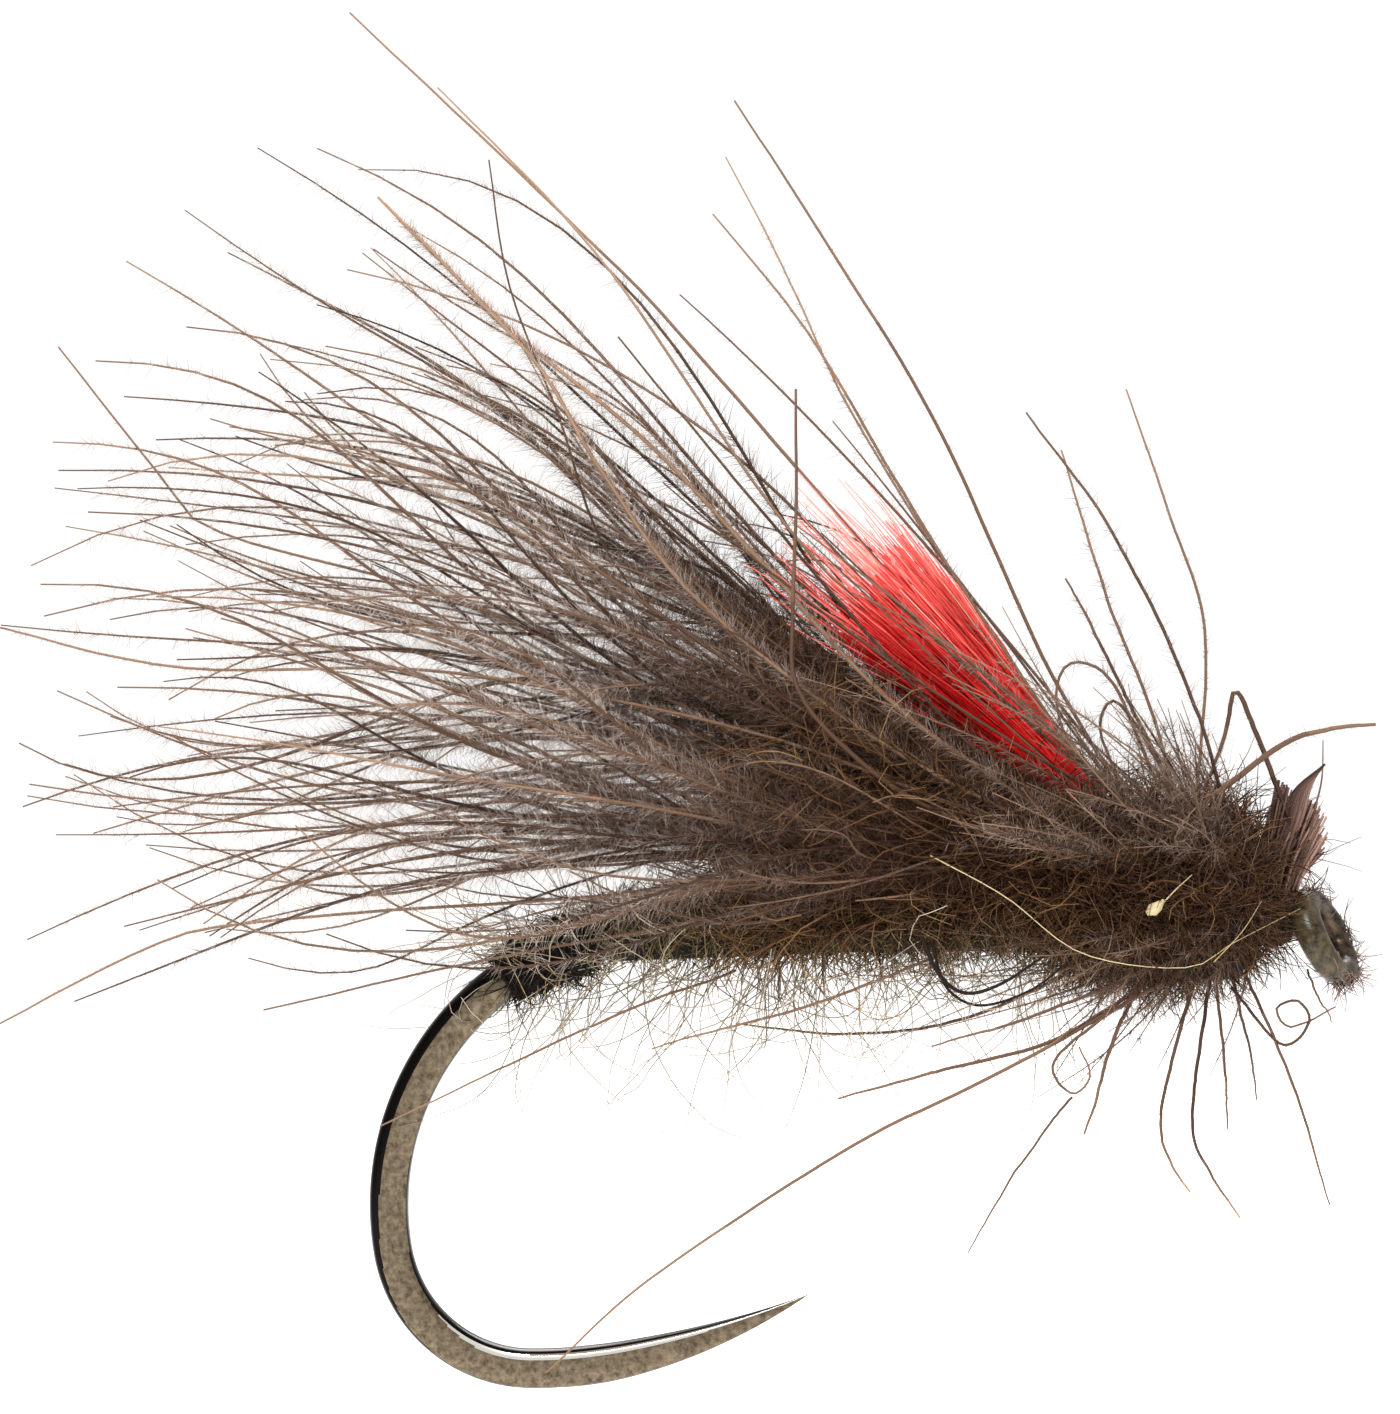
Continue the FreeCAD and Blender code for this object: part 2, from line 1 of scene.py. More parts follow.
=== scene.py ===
"""Looks of the dry fly: every fibre is a thin closed tube in a plain colour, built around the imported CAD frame.

Sizes in this script are millimetres in the row frame and become metres when a mesh is made.
"""

import math

import bpy
import numpy as np
from mathutils import Matrix, Vector


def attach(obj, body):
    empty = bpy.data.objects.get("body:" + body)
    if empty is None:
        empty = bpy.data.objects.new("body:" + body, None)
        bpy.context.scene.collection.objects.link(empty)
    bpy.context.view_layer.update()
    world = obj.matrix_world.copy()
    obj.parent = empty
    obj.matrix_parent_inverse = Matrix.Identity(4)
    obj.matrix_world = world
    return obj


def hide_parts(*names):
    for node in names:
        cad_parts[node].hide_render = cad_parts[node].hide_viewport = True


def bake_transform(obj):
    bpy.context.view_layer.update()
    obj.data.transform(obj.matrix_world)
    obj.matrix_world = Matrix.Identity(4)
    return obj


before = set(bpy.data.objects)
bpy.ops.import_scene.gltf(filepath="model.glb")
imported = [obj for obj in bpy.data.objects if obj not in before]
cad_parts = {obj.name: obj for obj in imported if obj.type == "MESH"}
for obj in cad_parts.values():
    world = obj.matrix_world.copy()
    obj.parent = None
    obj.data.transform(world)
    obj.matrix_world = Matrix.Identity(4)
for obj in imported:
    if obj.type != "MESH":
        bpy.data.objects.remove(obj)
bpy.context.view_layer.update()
MM = 0.001
SEED = 1207
rng = np.random.default_rng(SEED)

SHANK_Z = 0.376
SHANK_FRONT, SHANK_REAR = -0.98, -9.85
WIRE = 0.275  # radius
BODY_Z = 0.48
THORAX_Z = 0.66
BACK, NEAR, UP = np.array([-1.0, 0, 0]), np.array([0, -1.0, 0]), np.array([0, 0, 1.0])


# -------- colours


def linear(red, green, blue):
    """Linear colour from the usual 0 to 255 screen values."""
    parts = []
    for value in (red, green, blue):
        share = value / 255
        parts.append(share / 12.92 if share <= 0.04045 else ((share + 0.055) / 1.055) ** 2.4)
    return (*parts, 1.0)


def plain(name, colour, roughness=0.6, metallic=0.0, specular=0.35):
    """A material of one colour, set on the shader's own sockets."""
    material = bpy.data.materials.new(name)
    material.use_nodes = True
    shader = material.node_tree.nodes["Principled BSDF"]
    shader.inputs["Base Color"].default_value = colour
    shader.inputs["Roughness"].default_value = roughness
    shader.inputs["Metallic"].default_value = metallic
    shader.inputs["Specular IOR Level"].default_value = specular
    return material


def ramp(name, dark, light, count, roughness=0.6, specular=0.12):
    """A row of plain materials from dark to light."""
    made = []
    for i in range(count):
        share = i / (count - 1)
        colour = [a + (b - a) * share for a, b in zip(dark, light)]
        made.append(plain(f"{name}_{i}", linear(*colour), roughness, specular=specular))
    return made


BARB_TONES = ramp("barb", (42, 25, 16), (152, 122, 98), 8, 0.55, 0.15)
BARB_TONES.append(plain("barb_pale", linear(232, 200, 168), 0.6))
FUZZ_TONES = ramp("barbule", (56, 33, 21), (214, 200, 190), 8, 0.85)
FUR_TONES = ramp("fur", (44, 23, 11), (152, 118, 78), 8, 0.75)
BODY_TONES = ramp("body_fur", (38, 28, 17), (156, 138, 98), 8, 0.75)
WISP_TONES = ramp("wisp", (116, 100, 72), (198, 188, 178), 6, 0.7)
STRAW_TONES = ramp("straw", (156, 114, 68), (188, 172, 132), 4, 0.5)
STRAW_TONES.append(plain("straw_dark", linear(30, 21, 15), 0.6, specular=0.1))
# From deep red to pale pink; the pale end also carries the painted light on the upper side of the sighter tuft.
RED_TONES = ramp("red_yarn", (190, 1, 3), (250, 150, 138), 9, 0.6)
MAUVE_TONES = ramp("butt", (46, 30, 25), (146, 116, 104), 6, 0.6)
THREAD_TONES = ramp("thread", (18, 16, 12), (48, 40, 32), 4, 0.9)


# -------- fibre geometry


def unit(vectors):
    return vectors / np.maximum(np.linalg.norm(vectors, axis=-1, keepdims=True), 1e-9)


def spread(low, high, count):
    return rng.uniform(low, high, count)


def run_along(line):
    """Distance from the start of a line to each of its points."""
    return np.concatenate([[0], np.cumsum(np.linalg.norm(np.diff(line, axis=0), axis=1))])


def places_at(at, run, line):
    """Points of a line, or of anything given along it, at some distances from its start."""
    return np.stack([np.interp(at, run, line[:, k]) for k in range(3)], axis=1)


def tube_faces(stations, sides):
    """Faces of a closed tube of rings: the walls by station and side, and the two caps."""
    corner = np.arange(stations * sides).reshape(stations, sides)
    a, b = corner[:-1], np.roll(corner, -1, axis=1)[:-1]
    c, d = np.roll(corner, -1, axis=1)[1:], corner[1:]
    walls = np.stack([np.stack([a, b, c], -1), np.stack([a, c, d], -1)], axis=2)
    caps = [[corner[0, 0], corner[0, i + 1], corner[0, i]] for i in range(1, sides - 1)]
    caps += [[corner[-1, 0], corner[-1, i], corner[-1, i + 1]] for i in range(1, sides - 1)]
    return walls, np.array(caps)


def bezier(points, steps):
    """Cubic curves. points is (n, 4, 3); the result is (n, steps, 3)."""
    t = np.linspace(0, 1, steps)[None, :, None]
    a, b, c, d = (points[:, i][:, None, :] for i in range(4))
    return a * (1 - t) ** 3 + 3 * b * t * (1 - t) ** 2 + 3 * c * t**2 * (1 - t) + d * t**3


def through(points, steps):
    """One smooth curve through a few points, as evenly spaced stations."""
    p = np.array(points, float)
    p = np.vstack([2 * p[0] - p[1], p, 2 * p[-1] - p[-2]])
    line = []
    for i in range(1, len(p) - 2):
        for t in np.linspace(0, 1, 12, endpoint=False):
            a, b, c, d = p[i - 1], p[i], p[i + 1], p[i + 2]
            turn = (2 * a - 5 * b + 4 * c - d) * t**2 + (3 * b - a - 3 * c + d) * t**3
            line.append(0.5 * (2 * b + (c - a) * t + turn))
    line.append(p[-2])
    line = np.array(line)
    run = run_along(line)
    return places_at(np.linspace(0, run[-1], steps), run, line)


def wander(starts, headings, lengths, steps, curl, drift=0.4):
    """Fibres that leave each start and curl by about curl radians a millimetre."""
    count = len(starts)
    paths = np.empty((count, steps + 1, 3))
    paths[:, 0] = starts
    heading = unit(headings)
    stride = (lengths / steps)[:, None]
    spin = rng.normal(size=(count, 3)) * curl
    for k in range(steps):
        wobble = rng.normal(size=(count, 3)) * curl * drift
        heading = unit(heading + np.cross(spin + wobble, heading) * stride)
        paths[:, k + 1] = paths[:, k] + heading * stride
    return paths


MOST_FACES = 180000
BATCH = 2500


class Strands:
    """Gathers tubes and spikes, as batches of whole fibres, for one or more pieces."""

    def __init__(self):
        self.batches = []

    def add(self, vertices, faces, tones):
        self.batches.append((vertices, faces, tones))

    def tubes(self, paths, radii, tones, sides=3, light_tip=0.0, dark_root=0.0, tip_power=2):
        """Closed tubes. paths is (n, k, 3), radii (n, k) or (k,), tones (n,) as palette numbers."""
        count, stations = paths.shape[:2]
        radii = np.broadcast_to(radii, (count, stations))
        if count > BATCH:
            tones = np.asarray(tones, float)
            for first in range(0, count, BATCH):
                part = slice(first, first + BATCH)
                self.tubes(paths[part], radii[part], tones[part], sides, light_tip, dark_root, tip_power)
            return
        tangent = unit(np.gradient(paths, axis=1))
        across = unit(np.cross(tangent[:, 0], rng.normal(size=(count, 3))))
        frames = np.empty((count, stations, 2, 3))
        for k in range(stations):
            t = tangent[:, k]
            across = unit(across - t * np.sum(across * t, axis=1, keepdims=True))
            frames[:, k, 0] = across
            frames[:, k, 1] = np.cross(t, across)
        angles = np.arange(sides) * 2 * math.pi / sides
        ring = np.cos(angles)[:, None] * frames[:, :, None, 0] + np.sin(angles)[:, None] * frames[:, :, None, 1]
        vertices = paths[:, :, None, :] + ring * radii[:, :, None, None]
        walls, caps = tube_faces(stations, sides)
        one = np.vstack([walls.reshape(-1, 3), caps])
        place = np.repeat((np.arange(stations - 1) + 0.5) / (stations - 1), sides * 2)
        place = np.concatenate([place, [0.0] * (sides - 2), [1.0] * (sides - 2)])
        faces = (one[None] + (np.arange(count) * stations * sides)[:, None, None]).reshape(-1, 3)
        shade = np.asarray(tones, float)[:, None] - dark_root * (1 - place) ** 2
        shade = shade + np.reshape(light_tip, (-1, 1)) * place**tip_power
        self.add(vertices.reshape(-1, 3), faces, shade.reshape(-1))

    def spikes(self, base, heading, length, radius, tones):
        """Straight closed spikes with a triangular foot."""
        count = len(base)
        if count > BATCH * 4:
            for start in range(0, count, BATCH * 4):
                part = slice(start, start + BATCH * 4)
                self.spikes(base[part], heading[part], length[part], radius[part], tones[part])
            return
        first = unit(np.cross(heading, rng.normal(size=(count, 3))))
        second = np.cross(heading, first)
        feet = []
        for angle in np.arange(3) * 2 * math.pi / 3:
            feet.append(base + (first * math.cos(angle) + second * math.sin(angle)) * radius[:, None])
        tip = base + heading * length[:, None]
        vertices = np.stack(feet + [tip], axis=1).reshape(-1, 3)
        one = np.array([[0, 1, 3], [1, 2, 3], [2, 0, 3], [0, 2, 1]])
        faces = (one[None] + (np.arange(count) * 4)[:, None, None]).reshape(-1, 3)
        self.add(vertices, faces, np.repeat(tones, 4))

    def piece(self, name, palette, slot):
        """Makes one mesh object and gives each face its tone's material."""
        vertices, faces, tones, total = [], [], [], 0
        for some_vertices, some_faces, some_tones in self.batches:
            vertices.append(some_vertices)
            faces.append(some_faces + total)
            tones.append(some_tones)
            total += len(some_vertices)
        tones = np.clip(np.round(np.concatenate(tones)), 0, len(palette) - 1).astype(np.int32)
        faces = np.concatenate(faces).astype(np.int32)
        return mesh_piece(name, np.concatenate(vertices) * MM, faces, tones, palette)

    def pieces(self, name, palette, slot):
        """Makes as many mesh objects as keep each one under MOST_FACES."""
        groups, size = [Strands()], 0
        for batch in self.batches:
            if size + len(batch[1]) > MOST_FACES:
                groups.append(Strands())
                size = 0
            groups[-1].batches.append(batch)
            size += len(batch[1])
        if len(groups) == 1:
            return [groups[0].piece(name, palette, slot)]
        return [group.piece(f"{name}_{i + 1}", palette, slot) for i, group in enumerate(groups)]


def mesh_piece(name, vertices, faces, tones, palette):
    """One mesh object of triangles, each with the material its tone names."""
    mesh = bpy.data.meshes.new(name)
    mesh.vertices.add(len(vertices))
    mesh.vertices.foreach_set("co", vertices.astype(np.float32).ravel())
    mesh.loops.add(len(faces) * 3)
    mesh.loops.foreach_set("vertex_index", faces.ravel())
    mesh.polygons.add(len(faces))
    mesh.polygons.foreach_set("loop_start", np.arange(len(faces), dtype=np.int32) * 3)
    mesh.polygons.foreach_set("loop_total", np.full(len(faces), 3, np.int32))
    mesh.polygons.foreach_set("material_index", tones)
    mesh.polygons.foreach_set("use_smooth", np.full(len(faces), True))
    mesh.update()
    for material in palette:
        mesh.materials.append(material)
    piece = bpy.data.objects.new(name, mesh)
    bpy.context.scene.collection.objects.link(piece)
    return piece


def taper(stations, root, tip):
    """Radius along a fibre that thins from root to tip."""
    return root + (tip - root) * np.linspace(0, 1, stations) ** 1.3


def blunt(stations, root, tip):
    """Radius of a barb that keeps its thickness until it nears the tip."""
    return root + (tip - root) * np.linspace(0, 1, stations) ** 2.6


def fuzz(strands, paths, spacing, length, reach, tones, radius=0.004, lean=50.0, root_dark=0.8):
    """Barbules in two rows along each barb, between the shares of its length given by reach."""
    bases, headings, sizes = [], [], []
    for path in paths:
        run = run_along(path)
        count = int(run[-1] * (reach[1] - reach[0]) / spacing)
        if count < 2:
            continue
        at = run[-1] * np.sort(rng.uniform(reach[0], reach[1], count))
        tangent = unit(places_at(at + 0.05, run, path) - places_at(at - 0.05, run, path))
        flat = unit(np.cross(tangent, np.array([rng.normal() * 0.5, 1.0, rng.normal() * 0.5])))
        side = np.where(rng.random(count) < 0.5, -1.0, 1.0)[:, None]
        twist = rng.normal(size=(count, 1)) * 0.9
        out = unit(flat * side + np.cross(tangent, flat) * twist)
        angle = np.radians(rng.normal(lean, 22, count))[:, None]
        share = at / run[-1]
        bases.append(places_at(at, run, path))
        headings.append(unit(tangent * np.cos(angle) + out * np.sin(angle)))
        size = length * (1.1 - 0.6 * share) * rng.uniform(0.55, 1.25, count)
        sizes.append(size)
    base, heading, size = np.concatenate(bases), np.concatenate(headings), np.concatenate(sizes)
    shade = rng.uniform(tones[0], tones[1], len(base))
    shade -= root_dark * np.clip((base[:, 0] + 10.5) / 5.0, 0, 1)
    strands.spikes(base, heading, size, np.full(len(base), radius), shade)


# -------- hook

HOOK_STEP = 0.035
HOOK_SIDES = 72
FORGED_FROM, FORGED_OVER = -0.25, 0.5  # height where the flat faces begin, and how far they take to form
FORGED_DEPTH = 0.06
# Arcs of the bend as radius and degrees, from the shank to the point.
BEND = [(2.45, 24.0), (3.85, 73.5), (1.95, 79.5), (6.2, 13.0), (10.2, 15.0)]
EYE_DROOP, EYE_TWIST = math.radians(64.2), math.radians(21.0)
EYE_RING, EYE_WIRE = 0.55, 0.18
POINT_RUN = 3.33


def on_arc(x, z, radius, start, angle):
    """The wire's middle at one angle of an arc that begins at x and z with the wire turned by start."""
    return x - radius * (math.sin(angle) - math.sin(start)), 0, z - radius * (math.cos(start) - math.cos(angle))


def bend_line(step):
    """Stations along the wire from the front of the shank to the point: places and headings."""
    places, headings = [], []
    x = SHANK_FRONT
    while x > SHANK_REAR:
        places.append((x, 0, SHANK_Z))
        headings.append((-1, 0, 0))
        x -= step * 2
    x, z, turn = SHANK_REAR, SHANK_Z, 0.0
    for radius, sweep in BEND:
        count = max(2, int(radius * math.radians(sweep) / step))
        start = turn
        for i in range(count):
            angle = start + math.radians(sweep) * i / count
            places.append(on_arc(x, z, radius, start, angle))
            headings.append((-math.cos(angle), 0, -math.sin(angle)))
        turn = start + math.radians(sweep)
        x, _, z = on_arc(x, z, radius, start, turn)
    places.append((x, 0, z))
    headings.append((-math.cos(turn), 0, -math.sin(turn)))
    return np.array(places, float), np.array(headings, float)


def sweep_hook():
    """The wire as one swept skin: round on the shank, pressed flat on both faces round the bend."""
    places, headings = bend_line(HOOK_STEP)
    run = run_along(places)
    to_tip = run[-1] - run
    size = 1 - (1 - np.clip(to_tip / POINT_RUN, 1e-3, 1)) ** 1.6
    forged = np.clip((FORGED_FROM - places[:, 2]) / FORGED_OVER, 0, 1)
    sides = HOOK_SIDES
    angle = np.arange(sides) * 2 * math.pi / sides
    outer = np.stack([headings[:, 2], np.zeros(len(places)), -headings[:, 0]], axis=1)
    vertices = []
    for place, way, scale, press in zip(places, outer, size, forged):
        along, across = np.cos(angle) * WIRE, np.sin(angle) * WIRE
        limit = WIRE - FORGED_DEPTH * press
        soft = limit * np.tanh(across / limit * 1.35) / math.tanh(WIRE / limit * 1.35)
        across = across * (1 - press) + np.clip(soft, -limit, limit) * press
        ring = place + (way[None] * along[:, None] + NEAR[None] * across[:, None]) * scale
        vertices.append(ring)
    walls, caps = tube_faces(len(vertices), sides)
    # Bands of painted light round the wire, set by height across the section and by how far the bend has turned: 1 is
    # a painted dark reflection along the outer edge, 2 painted shade along the inner edge, 4 a painted highlight
    # strip just inside it on the lower leg, and 0 the mottled face.
    height = np.cos(angle + math.pi / sides)[None]
    turned = np.degrees(np.arctan2(-headings[:-1, 2], -headings[:-1, 0]))[:, None] % 360
    painted_reflection_from = np.interp(turned, [0, 20, 85, 125, 165], [0.3, 0.36, 0.46, 0.8, 0.945])
    painted_shade_to = -np.interp(turned, [0, 60, 100, 140, 205], [0.94, 0.92, 0.84, 0.76, 0.72])
    painted_highlight_to = painted_shade_to + np.interp(turned, [0, 125, 155, 190, 205], [0, 0, 0.24, 0.24, 0.12])
    band = np.where(height > painted_reflection_from, 1, np.where(height < painted_shade_to, 2, np.where(height < painted_highlight_to, 4, 0)))
    band = np.broadcast_to(band[:, :, None], walls.shape[:3])
    faces = np.vstack([walls.reshape(-1, 3), caps])
    tones = np.concatenate([band.reshape(-1), np.zeros(len(caps), int)])
    return np.concatenate(vertices), faces, tones


def eye_frame():
    """The eye's own axes: along the ring's long way, across it, and along its hole."""
    droop = Matrix.Rotation(EYE_DROOP, 3, "Y")
    long_way = droop @ Vector((1, 0, 0))
    turn = Matrix.Rotation(EYE_TWIST, 3, long_way) @ droop
    return np.array(turn)


def eye_ring():
    """The ring of the eye as a slightly uneven torus."""
    turn = eye_frame()
    around, about = 64, 20
    u = np.arange(around) * 2 * math.pi / around
    v = np.arange(about) * 2 * math.pi / about
    wire = EYE_WIRE * (1 + 0.07 * np.sin(u * 3 + 1) + 0.05 * np.sin(u * 7 + 2))[:, None]
    x = (EYE_RING + wire * np.cos(v)) * np.cos(u)[:, None]
    y = (EYE_RING + wire * np.cos(v)) * np.sin(u)[:, None]
    z = wire * np.sin(v) + 0 * u[:, None]
    vertices = np.stack([x, y, z], -1).reshape(-1, 3) @ turn.T
    corner = np.arange(around * about).reshape(around, about)
    a, b = corner, np.roll(corner, -1, axis=0)
    c, d = np.roll(b, -1, axis=1), np.roll(corner, -1, axis=1)
    faces = np.stack([np.stack([a, b, c], -1), np.stack([a, c, d], -1)], axis=2).reshape(-1, 3)
    return vertices, faces


def mottled(name, dark, light, roughness, scale, metallic=1.0):
    """Worn plating: two metal tones mixed by noise in the object's own coordinates."""
    material = bpy.data.materials.new(name)
    material.use_nodes = True
    nodes, links = material.node_tree.nodes, material.node_tree.links
    shader = nodes["Principled BSDF"]
    place = nodes.new("ShaderNodeTexCoord")
    noise = nodes.new("ShaderNodeTexNoise")
    noise.inputs["Scale"].default_value = scale
    noise.inputs["Detail"].default_value = 5.0
    noise.inputs["Roughness"].default_value = 0.7
    colours = nodes.new("ShaderNodeValToRGB")
    colours.color_ramp.elements[0].position = 0.36
    colours.color_ramp.elements[0].color = dark
    colours.color_ramp.elements[1].position = 0.64
    colours.color_ramp.elements[1].color = light
    links.new(place.outputs["Object"], noise.inputs["Vector"])
    links.new(noise.outputs["Fac"], colours.inputs["Fac"])
    links.new(colours.outputs["Color"], shader.inputs["Base Color"])
    shader.inputs["Metallic"].default_value = metallic
    shader.inputs["Roughness"].default_value = roughness
    shader.inputs["Specular IOR Level"].default_value = 0.25
    return material


def make_hook():
    steel_face = mottled("hook_face", linear(72, 62, 50), linear(122, 109, 90), 0.42, 9500.0)
    # The second, third and fifth hook materials are painted light: a painted dark reflection along the outer edge of
    # the wire, painted shade along its inner edge, and a painted highlight of the lamp on the inner shoulder of the
    # lower leg.
    steel_painted_dark_reflection = plain("hook_painted_dark_reflection", linear(22, 20, 19), 0.25, 1.0)
    steel_painted_inner_shade = plain("hook_painted_inner_shade", linear(38, 34, 31), 0.2, 1.0)
    steel_eye = mottled("hook_eye", linear(24, 19, 14), linear(92, 76, 60), 0.34, 5200.0, 0.6)
    steel_painted_highlight = plain("hook_painted_highlight", linear(236, 232, 224), 0.22, 1.0)
    vertices, faces, tones = sweep_hook()
    ring_vertices, ring_faces = eye_ring()
    strands = Strands()
    strands.add(vertices, faces, tones)
    strands.add(ring_vertices, ring_faces, np.full(len(ring_faces), 3))
    start = np.array([-1.0, 0, SHANK_Z])
    end = eye_frame() @ np.array([-EYE_RING, 0, 0])
    neck = (start + (end - start) * np.linspace(0, 1, 8)[:, None])[None]
    strands.tubes(neck, np.linspace(WIRE, EYE_WIRE * 1.15, 8), [3.0], sides=20)
    palette = [steel_face, steel_painted_dark_reflection, steel_painted_inner_shade, steel_eye, steel_painted_highlight]
    hook = strands.piece("hook_forged", palette, "hook_steel")
    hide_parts("hook")
    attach(hook, "fly_body")


# -------- thread


def coil(centre, heading, radius, pitch, wire, per_turn=20):
    """One thread wound round a line of stations: centre and heading (k, 3), radius a number or (k,)."""
    run = run_along(centre)
    at = np.linspace(0, run[-1], int(run[-1] / pitch * per_turn))
    middle = places_at(at, run, centre)
    way = unit(places_at(at, run, heading))
    out = np.cross(way, np.array([0, 1.0, 0]))
    turn = at / pitch * 2 * math.pi
    reach = np.interp(at, run, np.broadcast_to(radius, len(run)))[:, None]
    reach = reach * (1 + 0.03 * np.sin(turn * 0.37))[:, None]
    offset = np.cos(turn)[:, None] * out + np.sin(turn)[:, None] * np.array([0, 1.0, 0])
    path = middle + offset * reach
    return path[None], np.full((1, len(path)), wire)


WRAPS_FRONT, WRAPS_LOWEST = -10.1, -0.15


def make_butt_wraps():
    places, headings = bend_line(HOOK_STEP)
    keep = (places[:, 0] < WRAPS_FRONT) & (places[:, 2] > WRAPS_LOWEST)
    centre, way = places[keep], headings[keep]
    thread = Strands()
    bulge = 0.32 + 0.09 * np.sin(np.linspace(0.5, math.pi, len(centre)))
    for layer in (0.0, 0.035):
        path, radii = coil(centre, way, bulge + layer, 0.062, 0.034)
        thread.tubes(path, radii, [0.0], sides=6)
    count = 700
    pick = rng.integers(0, len(centre), count)
    angle = spread(0, 2 * math.pi, count)[:, None]
    out = np.cross(way[pick], NEAR) * np.cos(angle) + NEAR * np.sin(angle)
    start = centre[pick] + out * bulge[pick][:, None]
    heading = way[pick] * rng.normal(0.3, 1, (count, 1))
    heading = heading + np.cross(way[pick], out) * rng.normal(0, 1, (count, 1)) + out * 0.35
    hairs = wander(start, heading, spread(0.12, 0.6, count), 4, 1.6)
    thread.tubes(hairs, taper(5, 0.011, 0.004), rng.normal(0.8, 1.0, count), light_tip=1.2)
    wraps = thread.piece("butt_wraps_thread", THREAD_TONES, "thread")
    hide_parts("butt_wraps")
    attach(wraps, "fly_body")


def make_head():
    thread = Strands()
    centre = np.array([(x, 0, SHANK_Z) for x in np.linspace(SHANK_FRONT, -0.5, 12)])
    way = np.broadcast_to(np.array([1.0, 0, 0]), centre.shape)
    dome = 0.3 + 0.12 * np.sqrt(np.clip(1 - np.linspace(-1, 0.9, 12) ** 2, 0, 1))
    for layer in (0.0, 0.03):
        path, radii = coil(centre, way, dome + layer, 0.055, 0.03)
        thread.tubes(path, radii, [2.0], sides=6)
    head = thread.piece("head_thread", THREAD_TONES, "thread")
    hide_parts("head_wraps")
    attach(head, "fly_body")
    varnish = mottled("varnish", linear(24, 20, 12), linear(82, 72, 50), 0.3, 5600.0, 0.0)
    gloss = Strands()
    turn = eye_frame()
    angle = np.radians(np.linspace(165, 325, 22))
    lower = np.stack([np.cos(angle) * EYE_RING, np.sin(angle) * EYE_RING, 0 * angle], 1) @ turn.T
    swell = EYE_WIRE * (1.0 + 0.16 * np.sin(np.linspace(0, math.pi, 22)))
    gloss.tubes(lower[None], swell[None], [0.0], sides=20)
    drop = np.array([(-0.62, 0, SHANK_Z - 0.02), (-0.5, -0.02, 0.3), (-0.4, -0.05, 0.22), (-0.3, -0.06, 0.16)])
    gloss.tubes(drop[None], np.array([[0.4, 0.34, 0.26, 0.17]]), [0.0], sides=20)
    coat = gloss.piece("head_varnish_coat", [varnish], "head_varnish")
    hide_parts("head_varnish")
    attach(coat, "fly_body")
    lint = Strands()
    count = 420
    angle = np.radians(spread(-60, 200, count))
    ring = np.stack([np.cos(angle), np.sin(angle), 0 * angle], 1)
    side = rng.normal(size=(count, 1)) * np.array([[0, 0, 1.0]])
    start = (ring * EYE_RING + unit(ring + side) * EYE_WIRE * 0.95) @ turn.T
    around = np.stack([-np.sin(angle), np.cos(angle), 0 * angle], 1) * rng.choice([-1.0, 1.0], (count, 1))
    paths = wander(start, around @ turn.T + rng.normal(size=(count, 3)) * 0.4, spread(0.12, 0.5, count), 6, 1.6)
    lint.tubes(paths, taper(7, 0.01, 0.004), rng.normal(3.0, 1.5, count), light_tip=1.5)
    dust = lint.piece("eye_lint", MAUVE_TONES, "feather_butts")
    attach(dust, "fly_body")


# -------- body


def radius_at(profile, x):
    return np.interp(x, [p[0] for p in profile], [p[1] for p in profile])


def over_body(profile, low, high, count):
    """Random places on a body between two stations: x, angle, radius and the ways out and round."""
    x = spread(low, high, count)
    angle = spread(0, 2 * math.pi, count)
    out = np.stack([0 * x, -np.sin(angle), np.cos(angle)], -1)
    round_way = np.stack([0 * x, -np.cos(angle), -np.sin(angle)], -1)
    return x, angle, radius_at(profile, x), out, round_way


def lumpy(profile, height, sides, lump, tones, name, palette, slot):
    """A soft lumpy core: stations of (x, radius) turned about a line along X."""
    x = np.linspace(profile[0][0], profile[-1][0], 60)
    radius = radius_at(profile, x)
    angle = np.arange(sides) * 2 * math.pi / sides
    wave = sum(
        np.sin(x[:, None] * f * 2.1 + angle[None] * k + phase)
        for f, k, phase in ((1, 2, 0.3), (2.3, -3, 1.9), (3.9, 5, 4.0), (6.1, -4, 2.2))
    )
    reach = radius[:, None] * (1 + lump * wave)
    ring = np.stack([x[:, None] + 0 * reach, reach * np.sin(angle), height + reach * np.cos(angle)], -1)
    strands = Strands()
    walls, caps = tube_faces(len(ring), sides)
    faces = np.vstack([walls.reshape(-1, 3), caps])[:, ::-1]
    strands.add(ring.reshape(-1, 3), faces, np.full(len(faces), tones))
    return strands.piece(name, palette, slot)


def round_body(x, angle, radius, height):
    """Points round a line along X; angle 0 is up and grows towards the near side."""
    return np.stack([x, -radius * np.sin(angle), height + radius * np.cos(angle)], -1)


